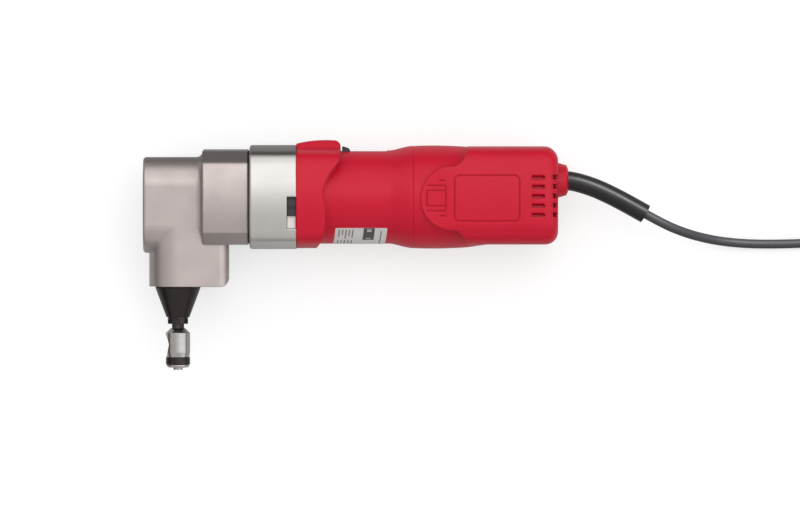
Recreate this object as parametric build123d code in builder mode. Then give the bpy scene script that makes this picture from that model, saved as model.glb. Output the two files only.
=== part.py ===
"""Corded electric nibbler, lying on its side as it is put down.

+X runs along the motor towards the cord, +Y is up when the tool is in use, +Z is up as it lies.
The origin is on the ground, under the middle of the motor housing's side flat. Millimetres.
"""

import os
from math import acos, cos, pi, radians, sin, tan

from build123d import *

os.makedirs("parts", exist_ok=True)

# Clearances
seat_gap = 0.02
run_gap = 0.04

# Stations along the motor axis
axis_height = 34.0
gear_flange_length = 30.3
gasket_thickness = 0.6
collar_length = 30.0
block_length = 38.6
housing_back = 67.9
cover_back = 161.5

shoulder_front = -8.1
flange_front = shoulder_front - gear_flange_length
collar_back = flange_front - gasket_thickness
collar_front = collar_back - collar_length
head_front = collar_front - block_length

# Head casting
head_half_width = 18.6
block_top = 26.0
block_bottom = 36.3
die_x = head_front + 22.4
plunger_case_back = die_x + 33.1
plunger_case_depth = 57.9
collar_half_height = 31.0
collar_half_width = 29.5
collar_bow = 1.5
collar_corner = 7.0
collar_wall = 3.0
gear_room_radius = 25.0

# Crank, rod and ram
throw = 3.0
eccentric_radius = 7.0
crank_journal = 4.0
crank_front_journal = 3.0
rod_width = 8.0
rod_eye_radius = 11.0
wrist_depth = 30.0
wrist_pin_radius = 2.5
small_end_radius = 5.5
stroke = 2 * throw
ram_radius = 12.0
ram_top_depth = 24.0
ram_foot_depth = 46.5
ram_nose_radius = 7.6
ram_nose_depth = 58.0

# Die set, with depths below the motor axis
nut_length = 20.2
nut_top_radius = 14.7
nut_tip_radius = 7.4
nut_thread_radius = 13.4
flange_seat_depth = 47.2
holder_flange = 2.8
stripper_radius = 6.6
stripper_depth = 82.4
neck_radius = 4.0
neck_flat = 1.0
throat = 2.9
die_radius = 7.9
die_length = 18.7
die_cone = 3.0
lock_ring_length = 5.0
screw_head_length = 1.8
screw_boss_length = 1.5
punch_entry = 2.7

# Gear train: teeth, module and shared centre distance
shaft_spacing = 15.0
first_module = 0.6
first_pinion_teeth = 10
first_gear_teeth = 40
second_module = 0.75
second_pinion_teeth = 10
second_gear_teeth = 30
pressure_angle = 20.0
backlash = 0.06

# Motor
stator_radius = 24.4
stator_front = 14.0
stator_back = 54.0
armature_radius = 15.4
pole_bore = 15.9
shaft_radius = 4.0
fan_radius = 24.0
commutator_radius = 10.5

# Housings
flange_half = 33.8
grip_radius = 30.3
shell_wall = 3.0
bulge_radius = 33.5
pad_front_radius = 20.8
pad_nose_x = 93.3
cover_top = 32.6
cover_bottom = 30.3
cover_wall = 2.6
hump_top = 36.9
boss_y = 10.9
boss_radius = 11.4
boss_length = 6.9
vent_width = 2.9
vent_pitch = 6.1
vent_count = 5
switch_travel = 5.5

# Cord
cord_radius = 3.0
sleeve_radius = 6.2
coil_mid_radius = 36.0
coil_section_width = 19.0
coil_section_height = 24.4


def save(piece, name):
    """Name a finished piece and write it to a file of its own."""
    piece.label = name
    export_step(piece, f"parts/{name}.step")


def across(x, y=0.0):
    """Plane square to the motor axis at x; its own x is up the tool, its own y is world +Z."""
    return Plane(origin=(x, y, axis_height), x_dir=(0, 1, 0), z_dir=(1, 0, 0))


def level(depth):
    """Plane square to the die axis, pointing down the tool from that depth under the motor axis."""
    return Plane(origin=(die_x, -depth, axis_height), x_dir=(1, 0, 0), z_dir=(0, -1, 0))


def side(offset=0.0):
    """Plane of the side view, through the motor axis or so far above it."""
    return Plane(origin=(0, 0, axis_height + offset), x_dir=(1, 0, 0), z_dir=(0, 0, 1))


motor_axis = Axis((0, 0, axis_height), (1, 0, 0))
die_axis = Axis((die_x, 0, axis_height), (0, 1, 0))


def outline(*points):
    """Closed straight-sided face through the points, to add to a sketch."""
    with BuildSketch() as face:
        with BuildLine():
            Polyline(*points, close=True)
        make_face()
    return face.sketch


def bowed_square(half_y, half_z, bow):
    """Face with four bowed sides meeting at sharp corners, to add to a sketch."""
    corner_y = half_y - bow
    corner_z = half_z - bow
    with BuildSketch() as face:
        with BuildLine():
            ThreePointArc((corner_y, -corner_z), (half_y, 0), (corner_y, corner_z))
            ThreePointArc((corner_y, corner_z), (0, half_z), (-corner_y, corner_z))
            ThreePointArc((-corner_y, corner_z), (-half_y, 0), (-corner_y, -corner_z))
            ThreePointArc((-corner_y, -corner_z), (0, -half_z), (corner_y, -corner_z))
        make_face()
    return face.sketch


def disc(x, radius, length, y=0.0, hole=0.0):
    """Round bar or ring along X from station x, centred at height y."""
    with BuildPart() as piece:
        with BuildSketch(across(x, y)):
            Circle(radius)
            if hole:
                Circle(hole, mode=Mode.SUBTRACT)
        extrude(amount=length)
    return piece.part


def bearing(x, y, bore, outer, width):
    """Shielded ball bearing as bought, with a shallow groove round each face."""
    with BuildPart() as piece:
        with BuildSketch(across(x, y)):
            Circle(outer - seat_gap)
            Circle(bore + run_gap, mode=Mode.SUBTRACT)
        extrude(amount=width)
        with BuildSketch(across(x, y), across(x + width - 0.4, y)):
            Circle(outer * 0.82)
            Circle(bore + 0.3 * (outer - bore), mode=Mode.SUBTRACT)
        extrude(amount=0.4, mode=Mode.SUBTRACT)
    return piece.part


def gear_teeth(teeth, module, addendum, dedendum, turn):
    """Involute gear outline centred on the sketch, with one tooth pointing at the angle turn."""
    pitch_radius = teeth * module / 2
    base_radius = pitch_radius * cos(radians(pressure_angle))
    tip_radius = pitch_radius + addendum * module
    root_radius = pitch_radius - dedendum * module
    half_tooth = pi / (2 * teeth) - backlash / (2 * pitch_radius)

    def involute(radius):
        angle = acos(min(1.0, base_radius / radius))
        return tan(angle) - angle

    def flank(radius):
        return half_tooth + involute(pitch_radius) - involute(max(radius, base_radius))

    def point(radius, angle):
        return (radius * cos(angle), radius * sin(angle))

    start_radius = max(base_radius, root_radius)
    middle_radius = (start_radius + tip_radius) / 2
    with BuildSketch() as face:
        with BuildLine():
            for tooth in range(teeth):
                centre = radians(turn) + 2 * pi * tooth / teeth
                following = centre + 2 * pi / teeth
                low = flank(start_radius)
                high = flank(tip_radius)
                if root_radius < base_radius:
                    Line(point(root_radius, centre - low), point(start_radius, centre - low))
                    Line(point(start_radius, centre + low), point(root_radius, centre + low))
                ThreePointArc(
                    point(start_radius, centre - low),
                    point(middle_radius, centre - flank(middle_radius)),
                    point(tip_radius, centre - high),
                )
                ThreePointArc(
                    point(tip_radius, centre - high),
                    point(tip_radius, centre),
                    point(tip_radius, centre + high),
                )
                ThreePointArc(
                    point(tip_radius, centre + high),
                    point(middle_radius, centre + flank(middle_radius)),
                    point(start_radius, centre + low),
                )
                ThreePointArc(
                    point(root_radius, centre + low),
                    point(root_radius, (centre + following) / 2),
                    point(root_radius, following - low),
                )
        make_face()
    return face.sketch


# Stations of the gear train, from the head backwards
bearing_plate_thickness = 6.0
plate_journal_gap = 2.0
plate_screw_count = 3
plate_screw_angle = 30.0
plate_screw_inset = 4.0
plate_screw_radius = 1.45
plate_screw_tapping = 1.5
plate_screw_hole = 1.7
plate_screw_depth = 2.2
plate_screw_room = 0.2
plate_head_radius = 2.7
plate_head_height = 0.9
plate_screw_circle = gear_room_radius - plate_screw_inset
small_bearing = (3.0, 6.5, 5.0)
front_bearing = (3.0, 9.5, 6.0)
main_bearing = (4.0, 11.0, 7.0)
rear_bearing = (3.5, 9.5, 6.0)
gear_room_front = collar_front + collar_wall
plate_back = gear_room_front + bearing_plate_thickness
crank_gear_x = plate_back + 1.0
crank_gear_width = 8.0
second_pinion_width = crank_gear_width + 1.5
crank_end_x = crank_gear_x + crank_gear_width + 0.5
first_gear_x = crank_end_x + 1.5
first_gear_width = 7.0
motor_pinion_x = crank_end_x + 1.0
motor_pinion_width = first_gear_width + 1.0
spigot_front = flange_front - 2.6
layshaft_rear_x = spigot_front
web_back = flange_front + 16.4
armature_bearing_x = web_back - main_bearing[2]
crank_bearing_x = gear_room_front - main_bearing[2]
crank_front_x = crank_bearing_x - 24.0 - front_bearing[2]
armature_rear_x = 86.0
screw_offset = 21.0
screw_radius = 2.0
screw_head_radius = 3.5
screw_head_depth = 4.2

# Head casting: plunger case, with the rounded lower back corner of the photograph
with BuildPart() as plunger_case:
    case_start = block_bottom - head_half_width
    with BuildSketch(level(case_start)) as case_section:
        Circle(head_half_width)
        with Locations(((plunger_case_back - die_x) / 2, 0)):
            Rectangle(plunger_case_back - die_x, 2 * head_half_width)
        back_corners = case_section.vertices().group_by(Axis.X)[-1]
        fillet(back_corners, radius=6.0)
    extrude(amount=plunger_case_depth - case_start)
    with BuildSketch(side()) as case_profile:
        with Locations(((head_front + plunger_case_back) / 2, -plunger_case_depth / 2)):
            Rectangle(plunger_case_back - head_front, plunger_case_depth)
        fillet(case_profile.vertices().group_by(Axis.Y)[0].sort_by(Axis.X)[-1], radius=5.0)
    extrude(amount=head_half_width, both=True, mode=Mode.INTERSECT)

# Cast foot of the block: a cove round its end, kept inside the front face of the collar
cove_radius = 4.2
with BuildPart() as block_foot:
    with BuildSketch(across(collar_front)):
        Circle(collar_half_height + collar_half_width)
    extrude(amount=1.0)
    with BuildSketch(across(collar_front)):
        with Locations(((block_top - block_bottom) / 2, 0)):
            SlotCenterToCenter(block_top + block_bottom - 2 * head_half_width, 2 * head_half_width)
    extrude(amount=-2 * cove_radius)
    junction = block_foot.faces().sort_by(SortBy.AREA)[-2].inner_wires()[0]
    fillet(junction.edges(), radius=cove_radius)
    with BuildSketch(across(collar_front - 2 * cove_radius)) as foot_limit:
        add(bowed_square(collar_half_height - 1.0, collar_half_width - 1.0, collar_bow))
        chamfer(foot_limit.vertices(), length=collar_corner)
    extrude(amount=2 * cove_radius + 1.0, mode=Mode.INTERSECT)

with BuildPart() as head_housing:
    with BuildSketch(across(collar_front)):
        add(bowed_square(collar_half_height, collar_half_width, collar_bow))
    extrude(amount=collar_length)
    long_edges = head_housing.edges().filter_by(Axis.X)
    chamfer(long_edges, length=collar_corner)
    rims = head_housing.faces().filter_by(Axis.X)
    chamfer(rims.edges(), length=0.8)
    with BuildSketch(across(head_front)):
        with Locations(((block_top - block_bottom) / 2, 0)):
            SlotCenterToCenter(block_top + block_bottom - 2 * head_half_width, 2 * head_half_width)
    extrude(amount=block_length)
    front_face = head_housing.faces().sort_by(Axis.X)[0]
    fillet(front_face.edges(), radius=2.0)
    add(block_foot.part)
    add(plunger_case.part)
    # Gear room with the pocket for the first gear, and the crank's bearings and room
    with BuildSketch(across(gear_room_front)):
        Circle(gear_room_radius)
    extrude(amount=collar_back - gear_room_front, mode=Mode.SUBTRACT)
    with BuildSketch(across(first_gear_x - 0.8)):
        with Locations((-shaft_spacing, 0)):
            Circle(first_gear_teeth * first_module / 2 + 1.0)
    extrude(amount=collar_back - first_gear_x + 0.8, mode=Mode.SUBTRACT)
    with BuildSketch(across(crank_bearing_x)):
        Circle(main_bearing[1])
    extrude(amount=main_bearing[2], mode=Mode.SUBTRACT)
    crank_room_back = crank_bearing_x - 2.5
    with BuildSketch(across(crank_front_x + front_bearing[2])):
        Circle(throw + rod_eye_radius + 0.4)
    crank_room_length = crank_room_back - crank_front_x - front_bearing[2]
    extrude(amount=crank_room_length, mode=Mode.SUBTRACT)
    with BuildSketch(across(crank_room_back)):
        Circle(throw + eccentric_radius + 0.2)
    extrude(amount=crank_bearing_x - crank_room_back, mode=Mode.SUBTRACT)
    with BuildSketch(across(crank_front_x)):
        Circle(front_bearing[1])
    extrude(amount=front_bearing[2], mode=Mode.SUBTRACT)
    # Ram bore, thread for the nut and the cored pocket behind the bore
    with BuildSketch(level(0)):
        Circle(ram_radius + run_gap)
    extrude(amount=plunger_case_depth, mode=Mode.SUBTRACT)
    with BuildSketch(level(flange_seat_depth)):
        Circle(nut_thread_radius + seat_gap)
    extrude(amount=plunger_case_depth - flange_seat_depth, mode=Mode.SUBTRACT)
    core_front = gear_room_front
    core_back = plunger_case_back - 4.4
    with BuildSketch(side()):
        core_low = -plunger_case_depth + 5.0
        with Locations(((core_front + core_back) / 2, (core_low - shaft_spacing) / 2)):
            Rectangle(core_back - core_front, -shaft_spacing - core_low)
    extrude(amount=13.0, both=True, mode=Mode.SUBTRACT)
    # Four counterbored screw holes in the corners of the collar
    with BuildSketch(across(collar_front)):
        with GridLocations(2 * screw_offset, 2 * screw_offset, 2, 2):
            Circle(screw_radius + 0.2)
    extrude(amount=collar_length, mode=Mode.SUBTRACT)
    with BuildSketch(across(collar_front)):
        with GridLocations(2 * screw_offset, 2 * screw_offset, 2, 2):
            Circle(screw_head_radius + 0.2)
    extrude(amount=screw_head_depth, mode=Mode.SUBTRACT)
    # Blind tapped holes for the bearing plate
    tapped_depth = plate_screw_depth + plate_screw_room
    with BuildSketch(across(gear_room_front - tapped_depth)):
        with PolarLocations(plate_screw_circle, plate_screw_count, start_angle=plate_screw_angle):
            Circle(plate_screw_tapping)
    extrude(amount=tapped_depth, mode=Mode.SUBTRACT)
save(head_housing.part, "head_housing")

# Bearing plate at the bottom of the gear room
with BuildPart() as bearing_plate:
    with BuildSketch(across(gear_room_front)):
        Circle(gear_room_radius - seat_gap)
        Circle(crank_journal + plate_journal_gap, mode=Mode.SUBTRACT)
        with PolarLocations(plate_screw_circle, plate_screw_count, start_angle=plate_screw_angle):
            Circle(plate_screw_hole, mode=Mode.SUBTRACT)
    extrude(amount=bearing_plate_thickness)
    with BuildSketch(across(plate_back)):
        with Locations((-shaft_spacing, 0)):
            Circle(small_bearing[1])
    extrude(amount=-small_bearing[2], mode=Mode.SUBTRACT)
save(bearing_plate.part, "bearing_plate")

with BuildPart() as bearing_plate_screws:
    with BuildSketch(across(gear_room_front - plate_screw_depth)):
        with PolarLocations(plate_screw_circle, plate_screw_count, start_angle=plate_screw_angle):
            Circle(plate_screw_radius)
    extrude(amount=bearing_plate_thickness + plate_screw_depth)
    with BuildSketch(across(plate_back)):
        with PolarLocations(plate_screw_circle, plate_screw_count, start_angle=plate_screw_angle):
            Circle(plate_head_radius)
    extrude(amount=plate_head_height)
save(bearing_plate_screws.part, "bearing_plate_screws")

# Gasket in the dark seam
with BuildPart() as head_gasket:
    with BuildSketch(across(collar_back)) as gasket_section:
        add(bowed_square(collar_half_height - 1.2, collar_half_width - 1.2, collar_bow))
        chamfer(gasket_section.vertices(), length=collar_corner)
        Circle(gear_room_radius, mode=Mode.SUBTRACT)
        with GridLocations(2 * screw_offset, 2 * screw_offset, 2, 2):
            Circle(screw_radius + 0.2, mode=Mode.SUBTRACT)
        with Locations((-shaft_spacing, 0)):
            Circle(first_gear_teeth * first_module / 2 + 1.0, mode=Mode.SUBTRACT)
    extrude(amount=gasket_thickness)
save(head_gasket.part, "head_gasket")

# Machined gear flange: bearing web in front, fan room behind, air notches in its back edge
fan_room_radius = 26.4
notch_length = 6.0
notch_top = -1.0
notch_bottom = 19.8
with BuildPart() as gear_flange:
    with BuildSketch(across(flange_front)) as flange_section:
        add(bowed_square(flange_half, axis_height + 1.2, 5.0))
        fillet(flange_section.vertices(), radius=12.0)
        Rectangle(2 * flange_half + 1, 2 * axis_height, mode=Mode.INTERSECT)
    extrude(amount=gear_flange_length)
    chamfer(gear_flange.faces().sort_by(Axis.X)[0].edges(), length=1.0)
    with BuildSketch(across(spigot_front)):
        Circle(gear_room_radius - seat_gap)
    extrude(amount=flange_front - spigot_front)
    with BuildSketch(across(web_back)):
        Circle(fan_room_radius)
    extrude(amount=shoulder_front - web_back, mode=Mode.SUBTRACT)
    with BuildSketch(across(armature_bearing_x)):
        Circle(main_bearing[1])
    extrude(amount=main_bearing[2], mode=Mode.SUBTRACT)
    with BuildSketch(across(spigot_front)):
        Circle(shaft_radius + 1.5)
    extrude(amount=armature_bearing_x - spigot_front, mode=Mode.SUBTRACT)
    with BuildSketch(across(layshaft_rear_x)):
        with Locations((-shaft_spacing, 0)):
            Circle(small_bearing[1])
    extrude(amount=small_bearing[2], mode=Mode.SUBTRACT)
    with BuildSketch(across(spigot_front)):
        with GridLocations(2 * screw_offset, 2 * screw_offset, 2, 2):
            Circle(screw_radius + 0.2)
    extrude(amount=shoulder_front - spigot_front, mode=Mode.SUBTRACT)
    with BuildSketch(side()):
        with Locations((shoulder_front - notch_length / 2, -(notch_top + notch_bottom) / 2)):
            Rectangle(notch_length, notch_bottom - notch_top)
    extrude(amount=axis_height + 1.0, both=True, mode=Mode.SUBTRACT)
save(gear_flange.part, "gear_flange")

# Head screws: long socket screws into the motor housing
head_screw_end = 2.0
with BuildPart() as head_screws:
    with BuildSketch(across(collar_front + 0.3)):
        with GridLocations(2 * screw_offset, 2 * screw_offset, 2, 2):
            Circle(screw_head_radius)
    extrude(amount=screw_head_depth - 0.3)
    with BuildSketch(across(collar_front + screw_head_depth)):
        with GridLocations(2 * screw_offset, 2 * screw_offset, 2, 2):
            Circle(screw_radius)
    extrude(amount=head_screw_end - collar_front - screw_head_depth)
    with BuildSketch(across(collar_front + 0.3)):
        with GridLocations(2 * screw_offset, 2 * screw_offset, 2, 2):
            RegularPolygon(radius=1.7, side_count=6)
    extrude(amount=2.0, mode=Mode.SUBTRACT)
save(head_screws.part, "head_screws")

# Black fan shroud with two louvre blades in each air notch, and the cream guide below them
shroud_length = 7.0
blade_rows = (0.9, 7.2)
guide_top = 11.7
with BuildPart() as fan_shroud:
    with BuildSketch(across(shoulder_front - shroud_length)):
        Circle(fan_room_radius - seat_gap)
        Circle(fan_room_radius - 1.6, mode=Mode.SUBTRACT)
    extrude(amount=shroud_length)
    with BuildSketch(side()):
        for row in blade_rows:
            with Locations((shoulder_front - notch_length / 2, -row - 2.0)):
                Rectangle(notch_length - 0.6, 4.0)
    extrude(amount=flange_half - 1.4, both=True)
    with BuildSketch(side()):
        with Locations((shoulder_front - notch_length / 2, -(notch_top + guide_top) / 2)):
            Rectangle(notch_length - 0.6, guide_top - notch_top - 0.3)
    extrude(amount=flange_half - 3.6, both=True)
    with BuildSketch(across(shoulder_front - shroud_length)):
        Circle(fan_room_radius - 1.6)
    extrude(amount=shroud_length, mode=Mode.SUBTRACT)
save(fan_shroud.part, "fan_shroud")

with BuildPart() as air_guide:
    with BuildSketch(side()):
        with Locations((shoulder_front - notch_length / 2, -(guide_top + notch_bottom - 0.3) / 2)):
            Rectangle(notch_length - 0.6, notch_bottom - 0.3 - guide_top)
    extrude(amount=flange_half - 3.4, both=True)
    with BuildSketch(across(shoulder_front - shroud_length - 1.0)):
        Circle(fan_room_radius + 0.1)
        with GridLocations(2 * screw_offset, 2 * screw_offset, 2, 2):
            Circle(screw_radius + 0.2)
    extrude(amount=shroud_length + 1.0, mode=Mode.SUBTRACT)
save(air_guide.part, "air_guide")

# Motor housing: shoulder and hump in front, round grip, flared back edge and bearing bridge
shoulder_end = 9.4
hump_end = 20.5
hump_half_width = 13.0
grip_end = 51.4
bridge_front = armature_rear_x - 1.0
bridge_back = armature_rear_x + rear_bearing[2]
spigot_radius = bulge_radius - cover_wall - 1.0
spigot_length = 6.0
post_offset = 17.7
cover_screw_end = armature_rear_x - 6.0
slot_half_width = 6.2
slot_front = hump_end + 0.4
slider_length = 23.0
slot_back = slot_front + 0.6 + slider_length + switch_travel + 0.6
with BuildPart() as shoulder:
    with BuildSketch(across(shoulder_front)) as shoulder_section:
        add(bowed_square(33.2, axis_height + 1.6, 5.5))
        fillet(shoulder_section.vertices(), radius=12.0)
    extrude(amount=hump_end - shoulder_front)
    with BuildSketch(side()):
        with BuildLine():
            Polyline((shoulder_front, 40), (shoulder_front, -40), (3.0, -40), (4.2, -33.6))
            Spline(
                (4.2, -33.6),
                (8.4, -27.6),
                (shoulder_end + 1.1, -20.7),
                (shoulder_end + 1.6, -12.5),
                (shoulder_end + 0.6, -2.2),
                (shoulder_end, 4.4),
                (shoulder_end + 1.9, 11.0),
                (shoulder_end + 6.1, 18.2),
                (hump_end, 24.8),
            )
            Polyline((hump_end, 24.8), (hump_end, 40), (shoulder_front, 40))
        make_face()
    extrude(amount=axis_height, both=True, mode=Mode.INTERSECT)

with BuildPart() as hump:
    with BuildSketch(side()):
        with BuildLine():
            Polyline((shoulder_front, 20.0), (shoulder_front, 34.6))
            Spline((shoulder_front, 34.6), (-0.3, 36.1), (7.0, hump_top - 0.1), (17.0, hump_top - 0.2))
            ThreePointArc((17.0, hump_top - 0.2), (19.4, 35.4), (hump_end, 32.4))
            Polyline((hump_end, 32.4), (hump_end, 20.0), (shoulder_front, 20.0))
        make_face()
    extrude(amount=hump_half_width + 6.0, both=True)
    with BuildSketch(across(shoulder_front)):
        add(
            outline(
                (20.0, hump_half_width + 6.0),
                (28.0, hump_half_width + 5.0),
                (hump_top + 1, hump_half_width - 3.0),
                (hump_top + 1, 3.0 - hump_half_width),
                (28.0, -hump_half_width - 5.0),
                (20.0, -hump_half_width - 6.0),
            )
        )
    extrude(amount=hump_end - shoulder_front, mode=Mode.INTERSECT)

with BuildPart() as motor_housing:
    add(shoulder.part)
    add(hump.part)
    with BuildSketch(side()):
        with BuildLine():
            Polyline((0, 0), (0, grip_radius), (grip_end, grip_radius))
            Spline(
                (grip_end, grip_radius),
                (grip_end + 8.0, grip_radius + 1.5),
                (grip_end + 14.9, bulge_radius - 0.3),
                tangents=((1, 0), (1, 0.12)),
            )
            Polyline(
                (grip_end + 14.9, bulge_radius - 0.3),
                (housing_back, bulge_radius - 0.3),
                (housing_back, spigot_radius),
                (housing_back + spigot_length, spigot_radius),
                (housing_back + spigot_length, 0),
                (0, 0),
            )
        make_face()
    revolve(axis=motor_axis)
    # Hollow: flange mouth, grip bore and open back
    with BuildSketch(side()):
        add(
            outline(
                (shoulder_front, 0),
                (shoulder_front, fan_room_radius),
                (8.0, fan_room_radius),
                (10.0, grip_radius - shell_wall),
                (housing_back + spigot_length, grip_radius - shell_wall),
                (housing_back + spigot_length, 0),
            )
        )
    revolve(axis=motor_axis, mode=Mode.SUBTRACT)
    # Lands that hold the stator
    with BuildSketch(across(stator_front - 2.0)):
        with PolarLocations(0, 4, start_angle=45.0):
            with Locations((grip_radius - shell_wall / 2 - 1.5, 0)):
                Rectangle(shell_wall + 2.4, 5.0)
        Circle(stator_radius + seat_gap, mode=Mode.SUBTRACT)
    extrude(amount=stator_back - stator_front + 4.0)
    # Bridge that carries the rear bearing, on four arms
    with BuildSketch(across(housing_back)):
        with PolarLocations(0, 4, start_angle=45.0):
            with Locations((25.0, 0)):
                Rectangle(5.6, 7.0)
    extrude(amount=bridge_back - housing_back)
    with BuildSketch(across(bridge_front + 1.0)):
        Circle(rear_bearing[1] + 2.5)
        with PolarLocations(0, 4, start_angle=45.0):
            with Locations((17.0, 0)):
                Rectangle(18.0, 7.0)
        Circle(rear_bearing[1], mode=Mode.SUBTRACT)
    extrude(amount=bridge_back - bridge_front - 1.0)
    # Slot for the slide switch and pilot holes for the head screws
    with BuildSketch(side()):
        with Locations(((slot_front + slot_back) / 2, 32.0)):
            Rectangle(slot_back - slot_front, 14.0)
    extrude(amount=slot_half_width, both=True, mode=Mode.SUBTRACT)
    with BuildSketch(across(shoulder_front)):
        with GridLocations(2 * screw_offset, 2 * screw_offset, 2, 2):
            Circle(screw_radius)
    extrude(amount=head_screw_end + 0.5 - shoulder_front, mode=Mode.SUBTRACT)
    with BuildSketch(across(cover_screw_end - 0.5)):
        with Locations((-post_offset, -post_offset), (-post_offset, post_offset)):
            Circle(screw_radius)
    extrude(amount=bridge_back - cover_screw_end + 0.5, mode=Mode.SUBTRACT)
save(motor_housing.part, "motor_housing")

# Rear cover: round front, squarish back with two flat side pads, vents, badge panel and boss
boss_axis = Axis((0, boss_y, axis_height), (1, 0, 0))
cover_middle = (cover_top - cover_bottom) / 2
cover_height = cover_top + cover_bottom
pad_corner = 14.0
pad_nose_front = pad_nose_x - pad_front_radius
back_round = 8.3
core_front_x = pad_nose_x + 14.0
cover_bore = spigot_radius + seat_gap
post_front = bridge_back + 0.5
post_screw_head = cover_back - 6.5
vent_front = 144.4
clamp_x = vent_front - 7.0
vent_length = 8.5
vent_middle = 1.5
vent_slope = 0.7
vent_rows = [vent_middle + (row - (vent_count - 1) / 2) * vent_pitch for row in range(vent_count)]
groove = 0.5
groove_width = 0.7
rib_front = pad_nose_x - 16.8
rib_end = pad_nose_x - 4.7
rib_rows = ((5.0, rib_front), (8.2, rib_front), (11.4, rib_end - 4.0))
panel_x = 115.4
panel_length = 42.8
panel_width = 30.5
panel_corner = 3.6
with BuildPart() as cover_core:
    with BuildSketch(across(core_front_x)) as core_section:
        with Locations((cover_middle, 0)):
            Rectangle(cover_height - 2 * cover_wall, 2 * (axis_height - cover_wall))
        fillet(core_section.vertices(), radius=pad_corner - cover_wall)
    extrude(amount=cover_back - cover_wall - core_front_x)
    fillet(cover_core.faces().sort_by(Axis.X)[-1].edges(), radius=back_round - cover_wall)

with BuildPart() as cover_body:
    with BuildSketch(across(pad_nose_front)) as body_section:
        with Locations((cover_middle, 0)):
            Rectangle(cover_height, 2 * axis_height)
        fillet(body_section.vertices(), radius=pad_corner)
    extrude(amount=cover_back - pad_nose_front)
    fillet(cover_body.faces().sort_by(Axis.X)[-1].edges(), radius=back_round)
    with BuildSketch(side()):
        flare_x = pad_nose_x + 11.0
        flare_y = bulge_radius + 2.0
        with BuildLine():
            ThreePointArc(
                (pad_nose_x, -pad_front_radius),
                (pad_nose_front, 0),
                (pad_nose_x, pad_front_radius),
            )
            Spline(
                (pad_nose_x, pad_front_radius),
                (pad_nose_x + 5.4, pad_front_radius + 2.6),
                (flare_x, flare_y),
                tangents=((1, 0), (0.3, 1)),
            )
            Polyline(
                (flare_x, flare_y),
                (cover_back + 1, flare_y),
                (cover_back + 1, -flare_y),
                (flare_x, -flare_y),
            )
            Spline(
                (flare_x, -flare_y),
                (pad_nose_x + 5.4, -pad_front_radius - 2.6),
                (pad_nose_x, -pad_front_radius),
                tangents=((-0.3, 1), (-1, 0)),
            )
        make_face()
    extrude(amount=axis_height, both=True, mode=Mode.INTERSECT)

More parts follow.
